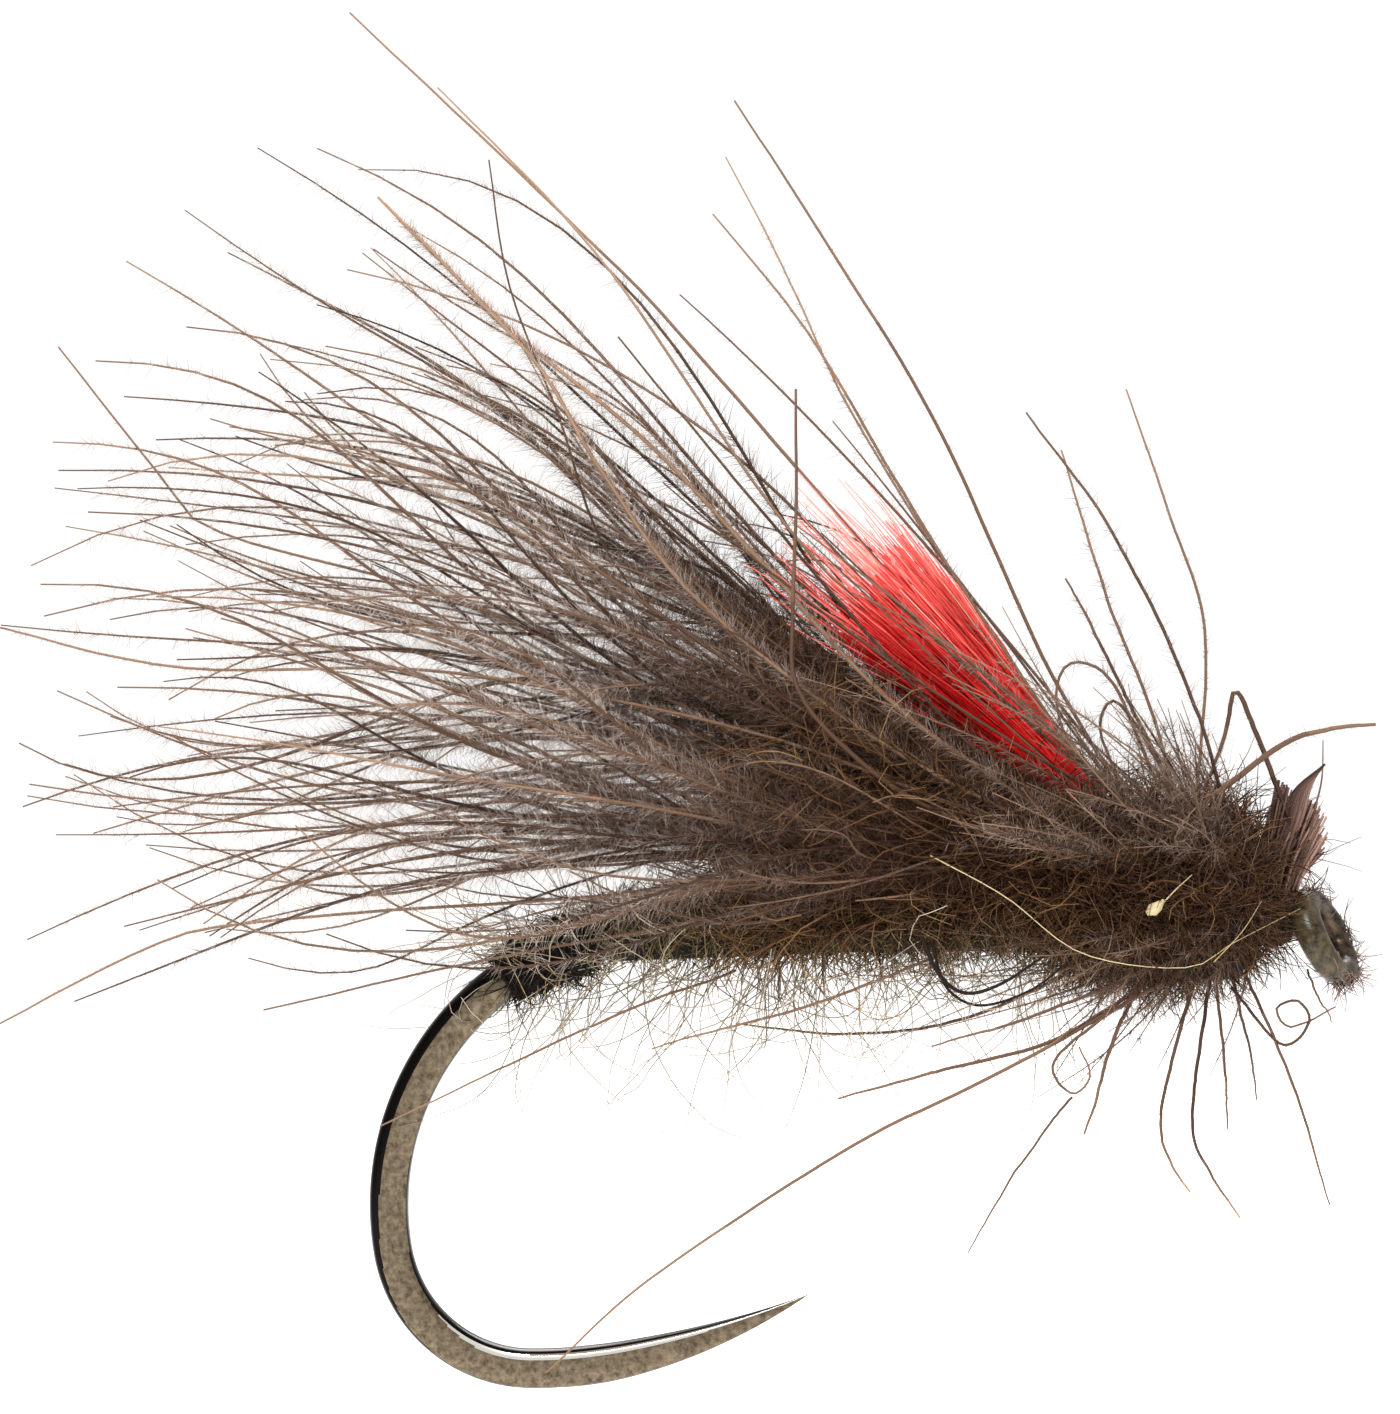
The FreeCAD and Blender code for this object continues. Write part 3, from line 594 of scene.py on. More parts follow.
def make_abdomen():
    profile = [(-9.95, 0.33), (-9.2, 0.36), (-7.0, 0.42), (-4.5, 0.46), (-3.0, 0.52)]
    core = lumpy(profile, BODY_Z, 28, 0.035, 0, "abdomen_core", BODY_TONES, "dubbing_olive")
    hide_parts("abdomen_dubbing")
    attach(core, "fly_body")
    fur = Strands()
    count = 5600
    x, angle, radius, out, round_way = over_body(profile, -10.2, -3.0, count)
    flow = rng.normal(size=(count, 1)) * BACK * 0.9 + round_way * np.where(rng.random((count, 1)) < 0.5, -1, 1)
    lift = np.abs(rng.normal(size=(count, 1))) * (0.1 + 0.09 * np.cos(angle))[:, None]
    start = round_body(x, angle, radius - 0.03, BODY_Z)
    length = spread(0.25, 0.95, count) * (0.78 + 0.22 * np.cos(angle))
    paths = wander(start, flow + out * lift, length, 5, 1.1)
    tones = np.clip(rng.normal(3.1, 1.9, count), 0, 7)
    fur.tubes(paths, taper(6, 0.012, 0.004), tones, light_tip=1.0)
    for piece in fur.pieces("abdomen_fur", BODY_TONES, "dubbing_olive"):
        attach(piece, "fly_body")


def make_thorax():
    profile = [(-3.35, 0.7), (-2.8, 0.94), (-2.1, 1.0), (-1.5, 0.94), (-1.05, 0.74), (-0.9, 0.52)]
    core = lumpy(profile, THORAX_Z, 32, 0.04, 0, "thorax_core", FUR_TONES, "dubbing_dark")
    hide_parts("thorax_dubbing")
    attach(core, "fly_body")
    fur = Strands()
    count = 8600
    x, angle, radius, out, round_way = over_body(profile, -3.6, -0.82, count)
    flow = BACK * rng.normal(0.5, 0.9, (count, 1)) + round_way * rng.normal(0, 1, (count, 1))
    lift = np.abs(rng.normal(size=(count, 1))) * 0.28
    start = round_body(x, angle, radius - 0.04, THORAX_Z)
    length = spread(0.4, 1.6, count) * (0.85 + 0.15 * np.cos(angle))
    paths = wander(start, flow + out * lift, length, 6, 1.2)
    tones = np.where(rng.random(count) < 0.025, spread(3.0, 5.5, count), rng.normal(1.0, 1.1, count))
    fur.tubes(paths, taper(7, 0.013, 0.004), tones, light_tip=1.1)
    for piece in fur.pieces("thorax_fur", FUR_TONES, "dubbing_dark"):
        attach(piece, "fly_body")
    haze = Strands()
    count = 5200
    x, angle, radius, out, _ = over_body(profile, -3.6, -0.7, count)
    out[:, 0] = 0.25 * rng.normal(size=count)
    start = round_body(x, angle, radius, THORAX_Z)
    heading = unit(out + rng.normal(size=(count, 3)) * 0.45)
    haze.spikes(start, heading, rng.gamma(3.0, 0.17, count), np.full(count, 0.005), spread(0.4, 3.6, count))
    for piece in haze.pieces("thorax_haze", FUZZ_TONES, "dubbing_dark"):
        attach(piece, "fly_body")


# -------- wing

# name, rise of the stem in degrees, yaw in degrees, side, root height, reach, half fan in degrees
# Name, rise and yaw in degrees, side and height of the root, length, half of the fan in degrees.
FEATHERS = [
    ("near_low", 7.0, 7.0, -0.55, 1.0, 14.8, 11.5),
    ("near_high", 19.5, 3.5, -0.3, 1.3, 15.3, 12.5),
    ("far_low", 15.0, -7.0, 0.55, 1.15, 15.0, 15.0),
    ("far_high", 31.5, -3.0, 0.3, 1.4, 15.4, 11.5),
]
WING_ROOT_X = -2.5


def wing_barbs(feather, count, reach_low, reach_high, stem_share, wild):
    """Barbs that leave one feather's stem at a shallow angle and fan out to its edge."""
    rise, yaw, side, height, length, half = feather[1:]
    share = rng.uniform(0, 1, count) ** 0.8
    clumps = np.linspace(-1, 1, 13) + rng.normal(0, 0.05, 13)
    clump = rng.integers(0, 13, count)
    fan = (clumps[clump] + rng.normal(0, 0.1, count)) * half * (1.12 - 0.35 * share)
    rise0, yaw0 = math.radians(rise), math.radians(yaw)

    def direction(up, over):
        flat = np.stack([-np.cos(over), -np.sin(over), 0 * over], -1)
        return flat * np.cos(up)[:, None] + UP * np.sin(up)[:, None]

    root = np.array([WING_ROOT_X, side, height])
    stem_way = direction(np.array([rise0]), np.array([yaw0]))[0]
    start = root + stem_way * (share * length * stem_share)[:, None] + rng.normal(size=(count, 3)) * 0.05
    up = np.radians(rise + fan)
    over = np.radians(yaw + rng.normal(0, 4.5, count))
    reach = length * rng.uniform(reach_low, reach_high, count)
    tip = root + direction(up, over) * reach[:, None]
    span = np.linalg.norm(tip - start, axis=1)[:, None]
    leave = unit(stem_way * 0.7 + direction(up + 0.1, over) * 0.6 + rng.normal(size=(count, 3)) * 0.08 * wild)
    sag = rng.normal(-0.12, 0.24, 13)[clump] + rng.normal(0, 0.17, count)
    arrive = direction(up * 0.92 + sag * wild, over + rng.normal(0, 0.12, count) * wild)
    points = np.stack([start, start + leave * span * 0.42, tip - arrive * span * 0.4, tip], axis=1)
    paths = bezier(points, 17)
    sway = rng.normal(size=(count, 2, 3)) * wild
    t = np.linspace(0, 1, 17)[None, :, None]
    return paths + sway[:, :1] * np.sin(t * 5.0) * 0.1 + sway[:, 1:] * np.sin(t * 9.0) * 0.035


def front_barbs(count):
    """Thin barbs that cross in front of the yarn tuft."""
    up = np.radians(spread(35, 56, count))
    start = np.stack([spread(-3.0, -2.3, count), spread(-0.95, -0.5, count), spread(1.5, 2.2, count)], -1)
    way = np.stack([-np.cos(up), spread(-0.1, 0.0, count), np.sin(up)], -1)
    reach = spread(4.5, 9.5, count)[:, None]
    bow = UP * rng.normal(0.1, 0.3, (count, 1))
    middles = [start + way * reach * share + bow for share in (0.35, 0.7)]
    return bezier(np.stack([start, *middles, start + way * reach], axis=1), 17)


def make_wing():
    for feather in FEATHERS:
        name = feather[0]
        long_barbs = wing_barbs(feather, 21, 0.86, 1.06, 0.5, 1.0)
        mid_barbs = wing_barbs(feather, 36 if name == "near_low" else 25, 0.55, 0.92, 0.42, 1.3)
        short_barbs = wing_barbs(feather, 44, 0.26, 0.5, 0.22, 1.2)
        barbs = Strands()
        for some, thick, lighter in ((long_barbs, 0.029, 1.2), (mid_barbs, 0.025, 1.2), (short_barbs, 0.02, 0.2)):
            tones = rng.normal(2.1, 1.1, len(some))
            barbs.tubes(some, blunt(17, thick, 0.01), tones, sides=4, light_tip=lighter, dark_root=1.8)
        wing_piece(barbs.piece(f"wing_{name}_barbs", BARB_TONES, "wing_feather"), f"wing_feather_{name}")
        down = Strands()
        everything = np.concatenate([long_barbs, mid_barbs, short_barbs])
        fuzz(down, everything, 0.021, 0.52, (0.03, 0.95), (3.6, 7.3), radius=0.0033, root_dark=5.6)
        fuzz(down, everything, 0.055, 0.62, (0.0, 0.5), (1.0, 3.6), radius=0.005, root_dark=3.0)
        for piece in down.pieces(f"wing_{name}_barbules", FUZZ_TONES, "wing_feather"):
            wing_piece(piece, None)
    stray, fluff = Strands(), Strands()
    crossing = front_barbs(7)
    stray.tubes(crossing, blunt(17, 0.021, 0.01), rng.normal(2.0, 0.8, len(crossing)), sides=4, light_tip=1.0)
    fuzz(fluff, crossing, 0.05, 0.35, (0.4, 0.95), (2.5, 5.5), radius=0.0032)
    for path, furry in placed(stray, WING_BARBS):
        spacing = 0.007 if furry > 0.4 else 0.018
        fuzz(fluff, path[None], spacing, furry, (0.02, 0.97), (3.2, 6.6), radius=0.0042, root_dark=2.4)
    wing_piece(stray.piece("wing_stray_barbs", BARB_TONES, "wing_feather"), None)
    wing_piece(fluff.piece("wing_stray_barbules", FUZZ_TONES, "wing_feather"), None)
    mass = Strands()
    count = 7200
    along = rng.uniform(0, 1, count) ** 1.3
    tilt = np.radians(rng.uniform(-8, 28.5, count))
    run = 0.4 + along * 5.3
    aside = rng.normal(0, 1, count) * (0.32 + 0.05 * run)
    start = np.stack([-2.3 - np.cos(tilt) * run, aside, 0.95 + np.sin(tilt) * run], -1)
    heading = np.stack([-np.cos(tilt), rng.normal(0, 0.25, count), np.sin(tilt) + rng.normal(0, 0.25, count)], -1)
    paths = wander(start, heading, spread(0.6, 2.2, count), 5, 0.8)
    tones = np.where(rng.random(count) < 0.05, spread(3, 5.5, count), rng.normal(0.7, 1.0, count) + along * 1.9)
    mass.tubes(paths, taper(6, 0.013, 0.004), tones, light_tip=1.0)
    for piece in mass.pieces("wing_base_down", FUR_TONES, "wing_feather"):
        wing_piece(piece, None)


def wing_piece(piece, node):
    if node:
        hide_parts(node)
    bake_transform(piece)


# -------- sighter


def make_sighter():
    yarn = Strands()
    count = 1500
    around = spread(0, 2 * math.pi, count)
    out = np.sqrt(rng.uniform(0, 1, count))
    a, b = np.cos(around) * out, np.sin(around) * out
    axis = unit(np.array([-0.716, 0, 0.698]))
    upper = unit(np.array([0.698, 0, 0.716]))
    side = np.array([0, 1.0, 0])
    root = np.array([-3.1, 0, 2.0])
    start = root + upper * (a * 0.24)[:, None] + side * (b * 0.24)[:, None]
    stray = rng.random(count) < 0.12
    length = np.where(stray, spread(4.0, 5.7, count), spread(3.0, 4.5, count) * (1 + 0.06 * a))
    lean = unit(axis + upper * (a * 0.12 + 0.03)[:, None] + side * (b * 0.11)[:, None])
    middle = start + lean * (length * 0.45)[:, None] + upper * (a * 0.12)[:, None]
    loose = rng.normal(size=(count, 3)) * np.where(stray, 0.22, 0.12)[:, None]
    tip = start + lean * length[:, None] + upper * (a * 0.08)[:, None] + loose
    points = np.stack([start, start + axis * (length * 0.2)[:, None], middle, tip], axis=1)
    paths = bezier(points, 9) + rng.normal(size=(count, 9, 3)) * 0.014
    # Tone and pale tips rise towards the upper side of the tuft: painted light on the upper side and painted shade on
    # the lower side; the loose strays are lighter too.
    tones = np.clip((a + 0.7) * 1.1 + rng.normal(0, 0.6, count) + stray * 1.5, -0.4, 6)
    yarn.tubes(paths, taper(9, 0.018, 0.008), tones, light_tip=0.4 + (a + 1) * 2.2 + stray * 3.0, tip_power=3)
    tuft = yarn.piece("sighter_filaments", RED_TONES, "sighter_yarn")
    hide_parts("sighter_yarn")
    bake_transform(tuft)


# -------- hackle and loose barbs

# barbs given one by one: points (x, y, z) from the tip to the root, thickness at the root, tone, fuzz length
# Listed barbs: points from the tip to the root, radius, tone, length of the barbules.
UPPER_BARBS = [
    ([(-7.8, -0.9, 11.8), (-6.6, -0.8, 9.8), (-5.2, -0.95, 7.3), (-3.8, -0.95, 4.0),
      (-2.4, -0.7, 1.4)], 0.02, 3, 0.12),
    ([(-7.9, 1.3, 11.3), (-7.1, 1.2, 9.6), (-6.2, 1.1, 7.5), (-4.4, 1.0, 4.3), (-2.7, 0.75, 1.5)], 0.015, 5, 0.2),
    ([(-8.1, -1.5, 10.2), (-6.9, -1.3, 8.6), (-5.3, -1.0, 5.7), (-2.9, -0.6, 1.8)], 0.017, 4, 0.15),
    ([(-4.0, -1.2, 7.4), (-2.9, -1.0, 5.8), (-1.8, -0.8, 3.4), (-1.3, -0.6, 1.5)], 0.02, 2, 0.26),
    ([(-3.3, 1.1, 7.0), (-2.7, 1.0, 4.8), (-2.2, 0.85, 3.3), (-1.8, 0.6, 1.4)], 0.018, 4, 0.3),
    ([(-3.5, -0.9, 5.1), (-3.1, -0.8, 4.3), (-2.1, -0.6, 2.2)], 0.02, 2, 0.3),
    ([(-2.4, 1.1, 7.8), (-1.8, 1.0, 5.9), (-1.4, 0.85, 4.2), (-1.7, 0.55, 1.6)], 0.017, 4, 0.12),
    ([(-2.8, -0.7, 1.9), (-3.6, -0.9, 3.2), (-3.5, -0.9, 3.95), (-2.9, -0.9, 3.7), (-2.3, -0.7, 2.2)], 0.017, 3, 0.3),
    ([(-2.6, -0.9, 1.7), (-3.1, -1.0, 2.9), (-2.9, -1.0, 3.4), (-2.3, -0.9, 2.5), (-2.0, -0.8, 1.7)], 0.018, 2, 0.28),
    ([(0.6, -1.6, 3.0), (0.0, -1.4, 2.95), (-0.7, -1.1, 2.7), (-1.9, -0.7, 1.8)], 0.032, 3, 0.2),
    ([(-1.7, -0.6, 2.0), (-1.35, -0.8, 2.9), (-1.2, -0.9, 3.5), (-0.9, -0.8, 2.8),
      (-0.5, -0.5, 1.7)], 0.027, 2, 0.14),
]
WING_BARBS = [
    ([(-12.7, -1.0, 10.7), (-11.8, -1.0, 9.7), (-10.7, -0.9, 8.6), (-9.2, -0.85, 7.3), (-7.6, -0.8, 5.5),
      (-5.8, -0.75, 3.4), (-3.0, -0.6, 1.3)], 0.026, 5, 0.42),
    ([(-12.6, -1.1, 10.6), (-11.5, -1.1, 9.4), (-10.5, -1.0, 8.2), (-9.8, -0.9, 6.9), (-8.5, -0.85, 5.0),
      (-6.0, -0.8, 2.9), (-3.0, -0.6, 1.2)], 0.026, 5, 0.42),
    ([(-13.1, 0.8, 13.5), (-10.2, 0.6, 10.5), (-8.4, 0.5, 8.5), (-4.4, 0.2, 3.5), (-2.6, 0.1, 1.7)], 0.02, 4, 0.08),
    ([(-11.9, 0.4, 12.3), (-9.7, 0.3, 9.8), (-7.1, 0.2, 5.8), (-4.6, 0.1, 3.2), (-3.0, 0, 1.8)], 0.017, 5, 0.1),
    ([(-11.1, -1.2, 11.1), (-10.9, -1.1, 9.4), (-10.3, -1.0, 7.6), (-9.4, -0.9, 5.2), (-6.4, -0.85, 2.7),
      (-3.0, -0.6, 1.2)], 0.016, 1, 0.08),
    ([(-9.5, -1.4, 8.6), (-8.6, -1.3, 7.4), (-6.7, -1.0, 5.0), (-4.6, -0.8, 2.6), (-3.0, -0.6, 1.3)], 0.019, 1, 0.12),
    ([(-17.1, -1.5, 8.8), (-15.8, -1.4, 7.0), (-15.0, -1.3, 6.2), (-11.5, -1.0, 5.0), (-6.8, -0.8, 2.5),
      (-3.0, -0.6, 1.1)], 0.018, 3, 0.14),
    ([(-18.2, -2.2, 5.0), (-15.6, -1.9, 4.3), (-12.0, -1.5, 4.1), (-8.0, -1.0, 3.2), (-5.2, -0.85, 2.1),
      (-3.0, -0.6, 1.1)], 0.019, 4, 0.2),
    ([(-7.1, -1.9, 7.75), (-7.15, -1.9, 6.1), (-7.25, -1.85, 4.8), (-7.1, -1.6, 3.5), (-5.4, -1.1, 2.0),
      (-3.0, -0.6, 1.2)], 0.026, 2, 0.0),
    ([(-18.1, -2.6, -0.3), (-16.2, -2.3, 0.6), (-14.8, -2.0, 0.9), (-11.0, -1.4, 1.0), (-6.8, -0.95, 1.1),
      (-3.0, -0.6, 1.0)], 0.019, 4, 0.14),
    ([(-14.6, -1.8, -0.3), (-12.2, -1.5, 0.15), (-9.0, -1.0, 0.6), (-5.8, -0.85, 1.0),
      (-3.0, -0.6, 1.0)], 0.017, 3, 0.12),
]
LOWER_BARBS = [
    ([(-11.0, -2.8, -5.2), (-9.5, -2.6, -4.0), (-6.7, -2.0, -2.4), (-4.6, -1.5, -1.5),
      (-2.4, -0.8, -0.5)], 0.019, 4, 0.06),
    ([(-6.9, -1.8, -1.85), (-5.3, -1.5, -1.5), (-3.9, -1.2, -1.2), (-2.6, -0.8, -0.5)], 0.021, 3, 0.14),
    ([(-8.2, 0.9, -0.95), (-6.6, 0.9, -1.15), (-5.0, 0.9, -1.0), (-3.0, 0.8, -0.2)], 0.018, 3, 0.14),
    ([(-5.6, -1.4, -1.25), (-4.6, -1.3, -1.0), (-2.8, -0.9, -0.4)], 0.018, 3, 0.16),
    ([(-3.6, -1.5, -1.3), (-3.45, -1.5, -1.7), (-3.7, -1.5, -1.95), (-3.95, -1.4, -1.6), (-3.6, -1.3, -1.2),
      (-2.7, -0.9, -0.6)], 0.017, 3, 0.0),
    ([(-5.2, -1.9, -4.0), (-4.6, -1.8, -3.0), (-3.7, -1.5, -1.95)], 0.014, 3, 0.06),
    ([(-3.5, -1.2, -2.5), (-3.3, -1.1, -2.0), (-3.1, -1.0, -1.3), (-2.6, -0.7, -0.4)], 0.022, 3, 0.12),
    ([(-2.1, -1.6, -3.4), (-2.4, -1.5, -2.9), (-2.5, -1.4, -2.2), (-1.9, -0.9, -0.4)], 0.02, 2, 0.08),
    ([(-1.5, -1.7, -3.8), (-1.9, -1.6, -3.1), (-2.1, -1.4, -2.3), (-1.7, -0.9, -0.4)], 0.02, 1, 0.06),
    ([(-1.5, -0.3, -2.6), (-1.5, -0.3, -1.6), (-1.6, -0.3, -0.4)], 0.017, 3, 0.1),
    ([(-0.2, -0.9, -3.6), (-0.6, -0.8, -2.0), (-1.2, -0.5, -0.4)], 0.017, 3, 0.1),
    ([(-1.0, 0.5, -2.3), (-1.1, 0.5, -1.5), (-1.3, 0.4, -0.4)], 0.016, 3, 0.12),
    ([(0.0, -0.6, -0.9), (-0.6, -0.7, -1.15), (-0.8, -0.7, -0.9), (-0.5, -0.7, -0.8), (-0.35, -0.7, -1.1),
      (-0.75, -0.7, -1.4), (-1.4, -0.6, -0.6)], 0.016, 2, 0.1),
    ([(0.0, -0.3, -1.2), (-0.2, -0.4, -0.7), (-0.3, -0.3, -0.4)], 0.012, 3, 0.0),
    ([(-9.4, -1.2, -1.1), (-7.0, -1.0, -0.55), (-5.4, -0.7, 0.0)], 0.016, 4, 0.08),
    ([(-13.1, -1.8, -2.0), (-11.5, -1.5, -1.3), (-9.8, -1.1, -0.6), (-8.2, -0.7, -0.1)], 0.014, 4, 0.06),
]
# The same for the stiff hairs, without barbules.
STRAW_HAIRS = [
    ([(-5.5, -1.4, 1.4), (-4.5, -1.5, 0.8), (-3.5, -1.55, 0.0), (-2.1, -1.5, -0.25), (-1.4, -1.2, 0.05),
      (-0.4, -0.6, 0.45)], 0.014, 3),
    ([(-1.7, -1.35, -0.2), (-1.3, -1.35, 0.2), (-1.0, -1.2, 0.6)], 0.012, 2),
    ([(-2.45, -1.45, 0.55), (-2.2, -1.45, 0.8), (-1.95, -1.35, 1.0)], 0.02, 3),
    ([(-7.6, -0.8, 0.3), (-7.3, -0.95, -0.1), (-6.6, -1.0, -0.65), (-5.9, -1.0, -0.8), (-5.5, -0.9, -0.5)], 0.013, 0),
    ([(-11.7, -0.4, 0.7), (-11.4, -0.5, 0.3), (-11.05, -0.55, -0.45)], 0.015, 2),
    ([(-11.3, -0.45, 0.2), (-11.0, -0.5, 0.0), (-10.6, -0.5, -0.3)], 0.014, 0),
    ([(-5.7, -1.0, 0.45), (-5.45, -1.15, -0.2), (-5.1, -1.15, -0.5), (-4.6, -1.15, -0.4),
      (-3.9, -1.0, 0.0)], 0.036, 4),
    ([(-5.5, -1.0, 0.2), (-5.35, -1.15, -0.4), (-4.9, -1.15, -0.68), (-4.2, -1.15, -0.5),
      (-3.6, -1.0, -0.1)], 0.026, 4),
]


def placed(strands, barbs):
    """Adds the listed barbs and returns the paths, root first, of those with barbules, each with its fuzz length."""
    made = []
    for points, radius, tone, furry in barbs:
        path = through(points[::-1], 40)
        path += np.cumsum(rng.normal(size=path.shape), axis=0) * 0.004
        thick = radius * 1.4
        pale = 7.5 if tone < 3 and points[0][2] < -3 else 1.2
        power = 5 if pale > 2 else 2
        strands.tubes(path[None], blunt(40, thick, thick * 0.5), [float(tone)], 5, pale, 0.8, power)
        if furry > 0:
            made.append((path, furry))
    return made


def sprouts(count, x_low, x_high, lean_low, lean_high, back_mean, back_spread, length_low, length_high, bow):
    """Loose barbs that stand out of the thorax; lean is degrees round from straight up."""
    x = spread(x_low, x_high, count)
    side = np.where(rng.random(count) < 0.5, -1.0, 1.0)
    angle = np.radians(spread(lean_low, lean_high, count)) * side
    out = np.stack([0 * x, np.sin(angle), np.cos(angle)], -1)
    start = np.stack([x, 0 * x, np.full(count, THORAX_Z)], -1) + out * 0.9
    sweep = np.radians(rng.normal(back_mean, back_spread, count) * (0.35 - x) / 2.2)
    heading = out * np.cos(sweep)[:, None] + BACK * np.sin(sweep)[:, None]
    length = spread(length_low, length_high, count)
    bend = BACK * rng.normal(0.25, 0.3, (count, 1)) * bow + rng.normal(size=(count, 3)) * 0.12
    middle = start + heading * (length * 0.5)[:, None]
    tip = start + unit(heading + bend * 0.6) * length[:, None]
    points = np.stack([start, start + heading * (length * 0.3)[:, None], middle, tip], axis=1)
    return bezier(points, 12)


def make_hackle(name, barbs, loose_sets, node):
    strands, down = Strands(), Strands()
    for path, furry in placed(strands, barbs):
        fuzz(down, path[None], 0.022, furry * 1.15, (0.02, 0.9), (2.6, 6.4), root_dark=1.2)
    for loose, radius, tone in loose_sets:
        strands.tubes(loose, taper(12, radius * 1.2, 0.007), rng.normal(tone, 1.2, len(loose)), light_tip=1.4)
        fuzz(down, loose, 0.028, 0.38, (0.0, 0.85), (2.4, 6.4), root_dark=1.8)
    hackle = strands.piece(f"{name}_barbs", BARB_TONES, "hackle_barb")
    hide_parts(node)
    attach(hackle, "fly_body")
    fluff = down.piece(f"{name}_barbules", FUZZ_TONES, "hackle_barb")
    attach(fluff, "fly_body")


def make_hackles():
    upper = [
        (sprouts(28, -1.9, -1.0, 0, 40, 26, 10, 1.0, 2.2, 0.6), 0.015, 3.0),
        (sprouts(40, -3.1, -1.2, 36, 66, 34, 12, 1.2, 3.2, 1.0), 0.015, 3.0),
        (sprouts(24, -3.0, -1.4, 34, 50, 32, 8, 3.0, 6.0, 1.0), 0.016, 3.2),
        (sprouts(24, -3.0, -1.2, 40, 66, 32, 14, 1.5, 4.5, 1.0), 0.016, 3.2),
    ]
    make_hackle("hackle_upper", UPPER_BARBS, upper, "hackle_upper")
    lower = [
        (sprouts(46, -3.1, -0.95, 110, 180, 40, 16, 0.8, 2.2, 1.0), 0.015, 3.0),
        (sprouts(18, -3.1, -1.8, 118, 168, 58, 10, 2.0, 4.2, 0.6), 0.015, 3.2),
    ]
    make_hackle("hackle_lower", LOWER_BARBS, lower, "hackle_lower")


def make_guard_hairs():
    straw = Strands()
    for points, radius, tone in STRAW_HAIRS:
        path = through(points, 24)
        thick = radius * (0.6 if tone < 4 else 0.95)
        straw.tubes(path[None], taper(24, thick, thick * 0.5), [float(tone)], sides=5)
    speck = np.array([(-2.6, -1.5, 0.5), (-2.52, -1.52, 0.55), (-2.44, -1.52, 0.6), (-2.36, -1.5, 0.68)])
    straw.tubes(speck[None], np.array([[0.03, 0.09, 0.07, 0.02]]), [3.0], sides=8)
    hairs = straw.piece("straw_hairs", STRAW_TONES, "guard_hair")
    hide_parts("guard_hairs")
    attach(hairs, "fly_body")
    wisps = Strands()
    count = 160
    x = spread(-11.4, -3.4, count)
    angle = rng.normal(math.pi, 0.75, count)
    start = round_body(x, angle, np.full(count, 0.4), SHANK_Z)
    heading = np.stack([rng.normal(-0.35, 0.7, count), rng.normal(0, 0.45, count), -np.ones(count)], -1)
    length = np.minimum(rng.gamma(2.2, 0.85, count) + 0.3, 3.8)
    paths = wander(start, heading, length, 12, 0.6, 0.9)
    wisps.tubes(paths, taper(13, 0.0105, 0.005), rng.normal(1.6, 1.5, count), light_tip=1.5)
    count = 60
    start = round_body(spread(-11.2, -4.6, count), rng.normal(math.pi, 0.6, count), np.full(count, 0.36), BODY_Z)
    heading = np.stack([rng.normal(-0.5, 0.7, count), rng.normal(0, 0.3, count), -np.ones(count)], -1)
    paths = wander(start, heading, spread(1.8, 4.0, count), 16, 0.3, 0.6)
    wisps.tubes(paths, taper(17, 0.011, 0.006), rng.normal(2.2, 1.5, count), light_tip=1.5)
    count = 90
    x, aside, high = spread(-11.6, -9.2, count), rng.normal(0, 0.3, count), spread(0.0, 0.7, count)
    start = np.stack([x, aside, high], -1)
    aside, lifted = rng.normal(0, 0.5, count), rng.normal(0, 0.3, count)
    heading = np.stack([-np.ones(count), aside, lifted], -1)
    paths = wander(start, heading, spread(0.6, 2.6, count), 10, 0.6, 0.9)
    wisps.tubes(paths, taper(11, 0.0095, 0.005), rng.normal(1.6, 1.5, count), light_tip=1.5)
    hair = wisps.piece("body_wisps", WISP_TONES, "guard_hair")
    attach(hair, "fly_body")


def make_butts():
    tuft = Strands()
    count = 420
    across = rng.normal(0, 0.15, count)
    ahead = rng.uniform(0, 1, count)
    start = np.stack([-0.85 + ahead * 0.45, across, 0.6 + ahead * 0.1], -1)
    height = 1.45 + rng.uniform(-0.35, 0.4, count) + (1 - ahead) * 0.4
    tip = np.stack([-0.6 + ahead * 0.62, across * 1.9, height], -1)
    middle = (start + tip) / 2 + BACK * 0.06
    points = np.stack([start, start + (middle - start) * 0.7, middle, tip], axis=1)
    tones = 0.8 + ahead * 3.0 + rng.normal(0, 0.8, count)
    tuft.tubes(bezier(points, 7), taper(7, 0.022, 0.014), tones, sides=4, light_tip=0.6)
    for i in range(9):
        shift = i * 0.035
        edge = [(-0.8, -0.3, 0.9), (-0.66 + shift, -0.4, 1.5), (-0.42 + shift * 0.8, -0.45, 2.05)]
        path = through([*edge, (0.04 - shift * 0.5, -0.42, 2.42 - shift * 0.6)], 16)
        tuft.tubes(path[None], taper(16, 0.03, 0.016), [0.4 + i * 0.4], sides=5)
    spine = through([(-0.3, -0.2, 1.2), (-0.14, -0.25, 1.7), (0.0, -0.3, 2.2), (0.04, -0.3, 2.75)], 16)
    tuft.tubes(spine[None], taper(16, 0.02, 0.008), [3.0], sides=5)
    butts = tuft.piece("trimmed_butts_tuft", MAUVE_TONES, "feather_butts")
    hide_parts("trimmed_butts")
    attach(butts, "fly_body")


# -------- hidden CAD nodes


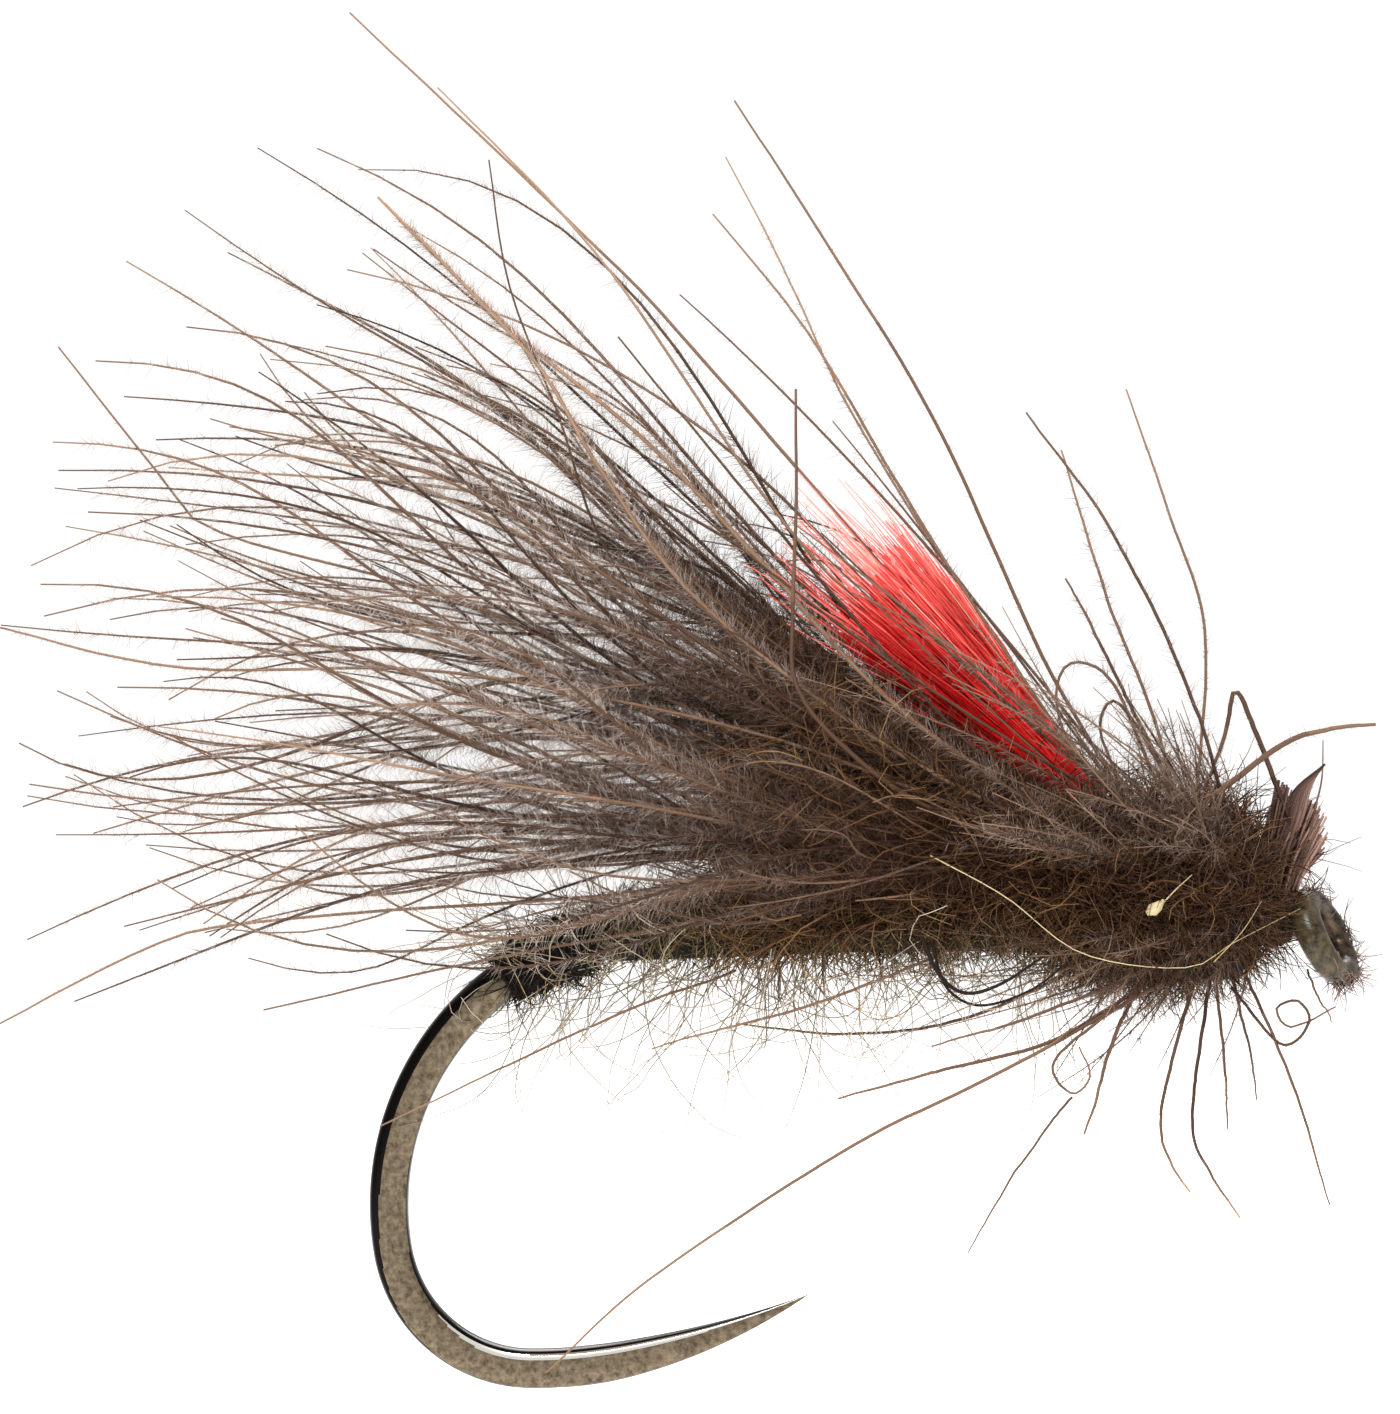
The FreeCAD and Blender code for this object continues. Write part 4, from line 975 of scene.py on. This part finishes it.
def paint_hidden():
    """Plain finishes for the CAD nodes that stay in view under the fibres."""
    thread = THREAD_TONES[1]
    finishes = {"thread_base": thread, "wing_lashing": thread, "sighter_lashing": thread}
    finishes["sighter_butt"] = RED_TONES[1]
    for node, material in finishes.items():
        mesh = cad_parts[node].data
        mesh.materials.clear()
        mesh.materials.append(material)


# -------- stage, light and camera


FLOOR_Z = -7.4
FLOOR_HALF = 600
FLOOR_GLOW = 0.45
ROOM_LIGHT = 0.7
BACKDROP_LIGHT = 1.05  # what the camera sees behind the fly
LIGHT_AIM = Vector((-8.0, 0, 3.0))


def make_stage():
    mesh = bpy.data.meshes.new("floor")
    wide = FLOOR_HALF * MM
    corners = [(-wide, -wide), (wide, -wide), (wide, wide), (-wide, wide)]
    mesh.from_pydata([(x, y, FLOOR_Z * MM) for x, y in corners], [], [(0, 1, 2, 3)])
    paper = plain("floor_paper", (0.92, 0.92, 0.92, 1.0), 0.9)
    shader = paper.node_tree.nodes["Principled BSDF"]
    shader.inputs["Emission Color"].default_value = (1, 1, 1, 1)
    shader.inputs["Emission Strength"].default_value = FLOOR_GLOW
    mesh.materials.append(paper)
    floor = bpy.data.objects.new("floor", mesh)
    bpy.context.scene.collection.objects.link(floor)


def area_light(name, place, size, power):
    """A soft square lamp that faces the middle of the fly."""
    lamp = bpy.data.lights.new(name, "AREA")
    lamp.energy = power
    lamp.size = size * MM
    holder = bpy.data.objects.new(name, lamp)
    middle = LIGHT_AIM * MM
    holder.location = Vector(place) * MM
    holder.rotation_euler = (middle - holder.location).to_track_quat("-Z", "Y").to_euler()
    bpy.context.scene.collection.objects.link(holder)


def make_light():
    world = bpy.data.worlds.new("studio")
    world.use_nodes = True
    nodes, links = world.node_tree.nodes, world.node_tree.links
    background = nodes["Background"]
    backdrop = nodes.new("ShaderNodeBackground")
    for shader, strength in ((background, ROOM_LIGHT), (backdrop, BACKDROP_LIGHT)):
        shader.inputs["Color"].default_value = (1, 1, 1, 1)
        shader.inputs["Strength"].default_value = strength
    rays = nodes.new("ShaderNodeLightPath")
    choose = nodes.new("ShaderNodeMixShader")
    links.new(rays.outputs["Is Camera Ray"], choose.inputs["Fac"])
    links.new(background.outputs["Background"], choose.inputs[1])
    links.new(backdrop.outputs["Background"], choose.inputs[2])
    links.new(choose.outputs["Shader"], nodes["World Output"].inputs["Surface"])
    bpy.context.scene.world = world
    area_light("key", (-22, -48, 62), 36, 0.1)
    area_light("back", (4, 60, 56), 50, 0.05)


CAMERA_LENS, CAMERA_FILM = 120.0, 36.0
CAMERA_AIM = Vector((-8.551, 0, 3.537))
VIEW_HEIGHT = 19.64
CAMERA_ROLL = 2.19  # degrees


def make_camera():
    camera = bpy.data.cameras.new("camera")
    camera.lens = CAMERA_LENS
    camera.sensor_width = CAMERA_FILM
    camera.sensor_fit = "AUTO"
    camera.clip_start = 0.001
    camera.clip_end = 10.0
    holder = bpy.data.objects.new("camera", camera)
    distance = VIEW_HEIGHT * CAMERA_LENS / CAMERA_FILM
    holder.location = (CAMERA_AIM + Vector((0, -distance, 0))) * MM
    level = Matrix.Rotation(math.radians(90), 3, "X")
    roll = Matrix.Rotation(math.radians(CAMERA_ROLL), 3, "Y")
    holder.rotation_euler = (roll @ level).to_euler()
    bpy.context.scene.collection.objects.link(holder)
    bpy.context.scene.camera = holder
    bpy.context.scene.view_settings.view_transform = "Standard"


make_hook()
make_butt_wraps()
make_head()
make_abdomen()
make_thorax()
make_wing()
make_sighter()
make_hackles()
make_guard_hairs()
make_butts()
paint_hidden()
make_stage()
make_light()
make_camera()
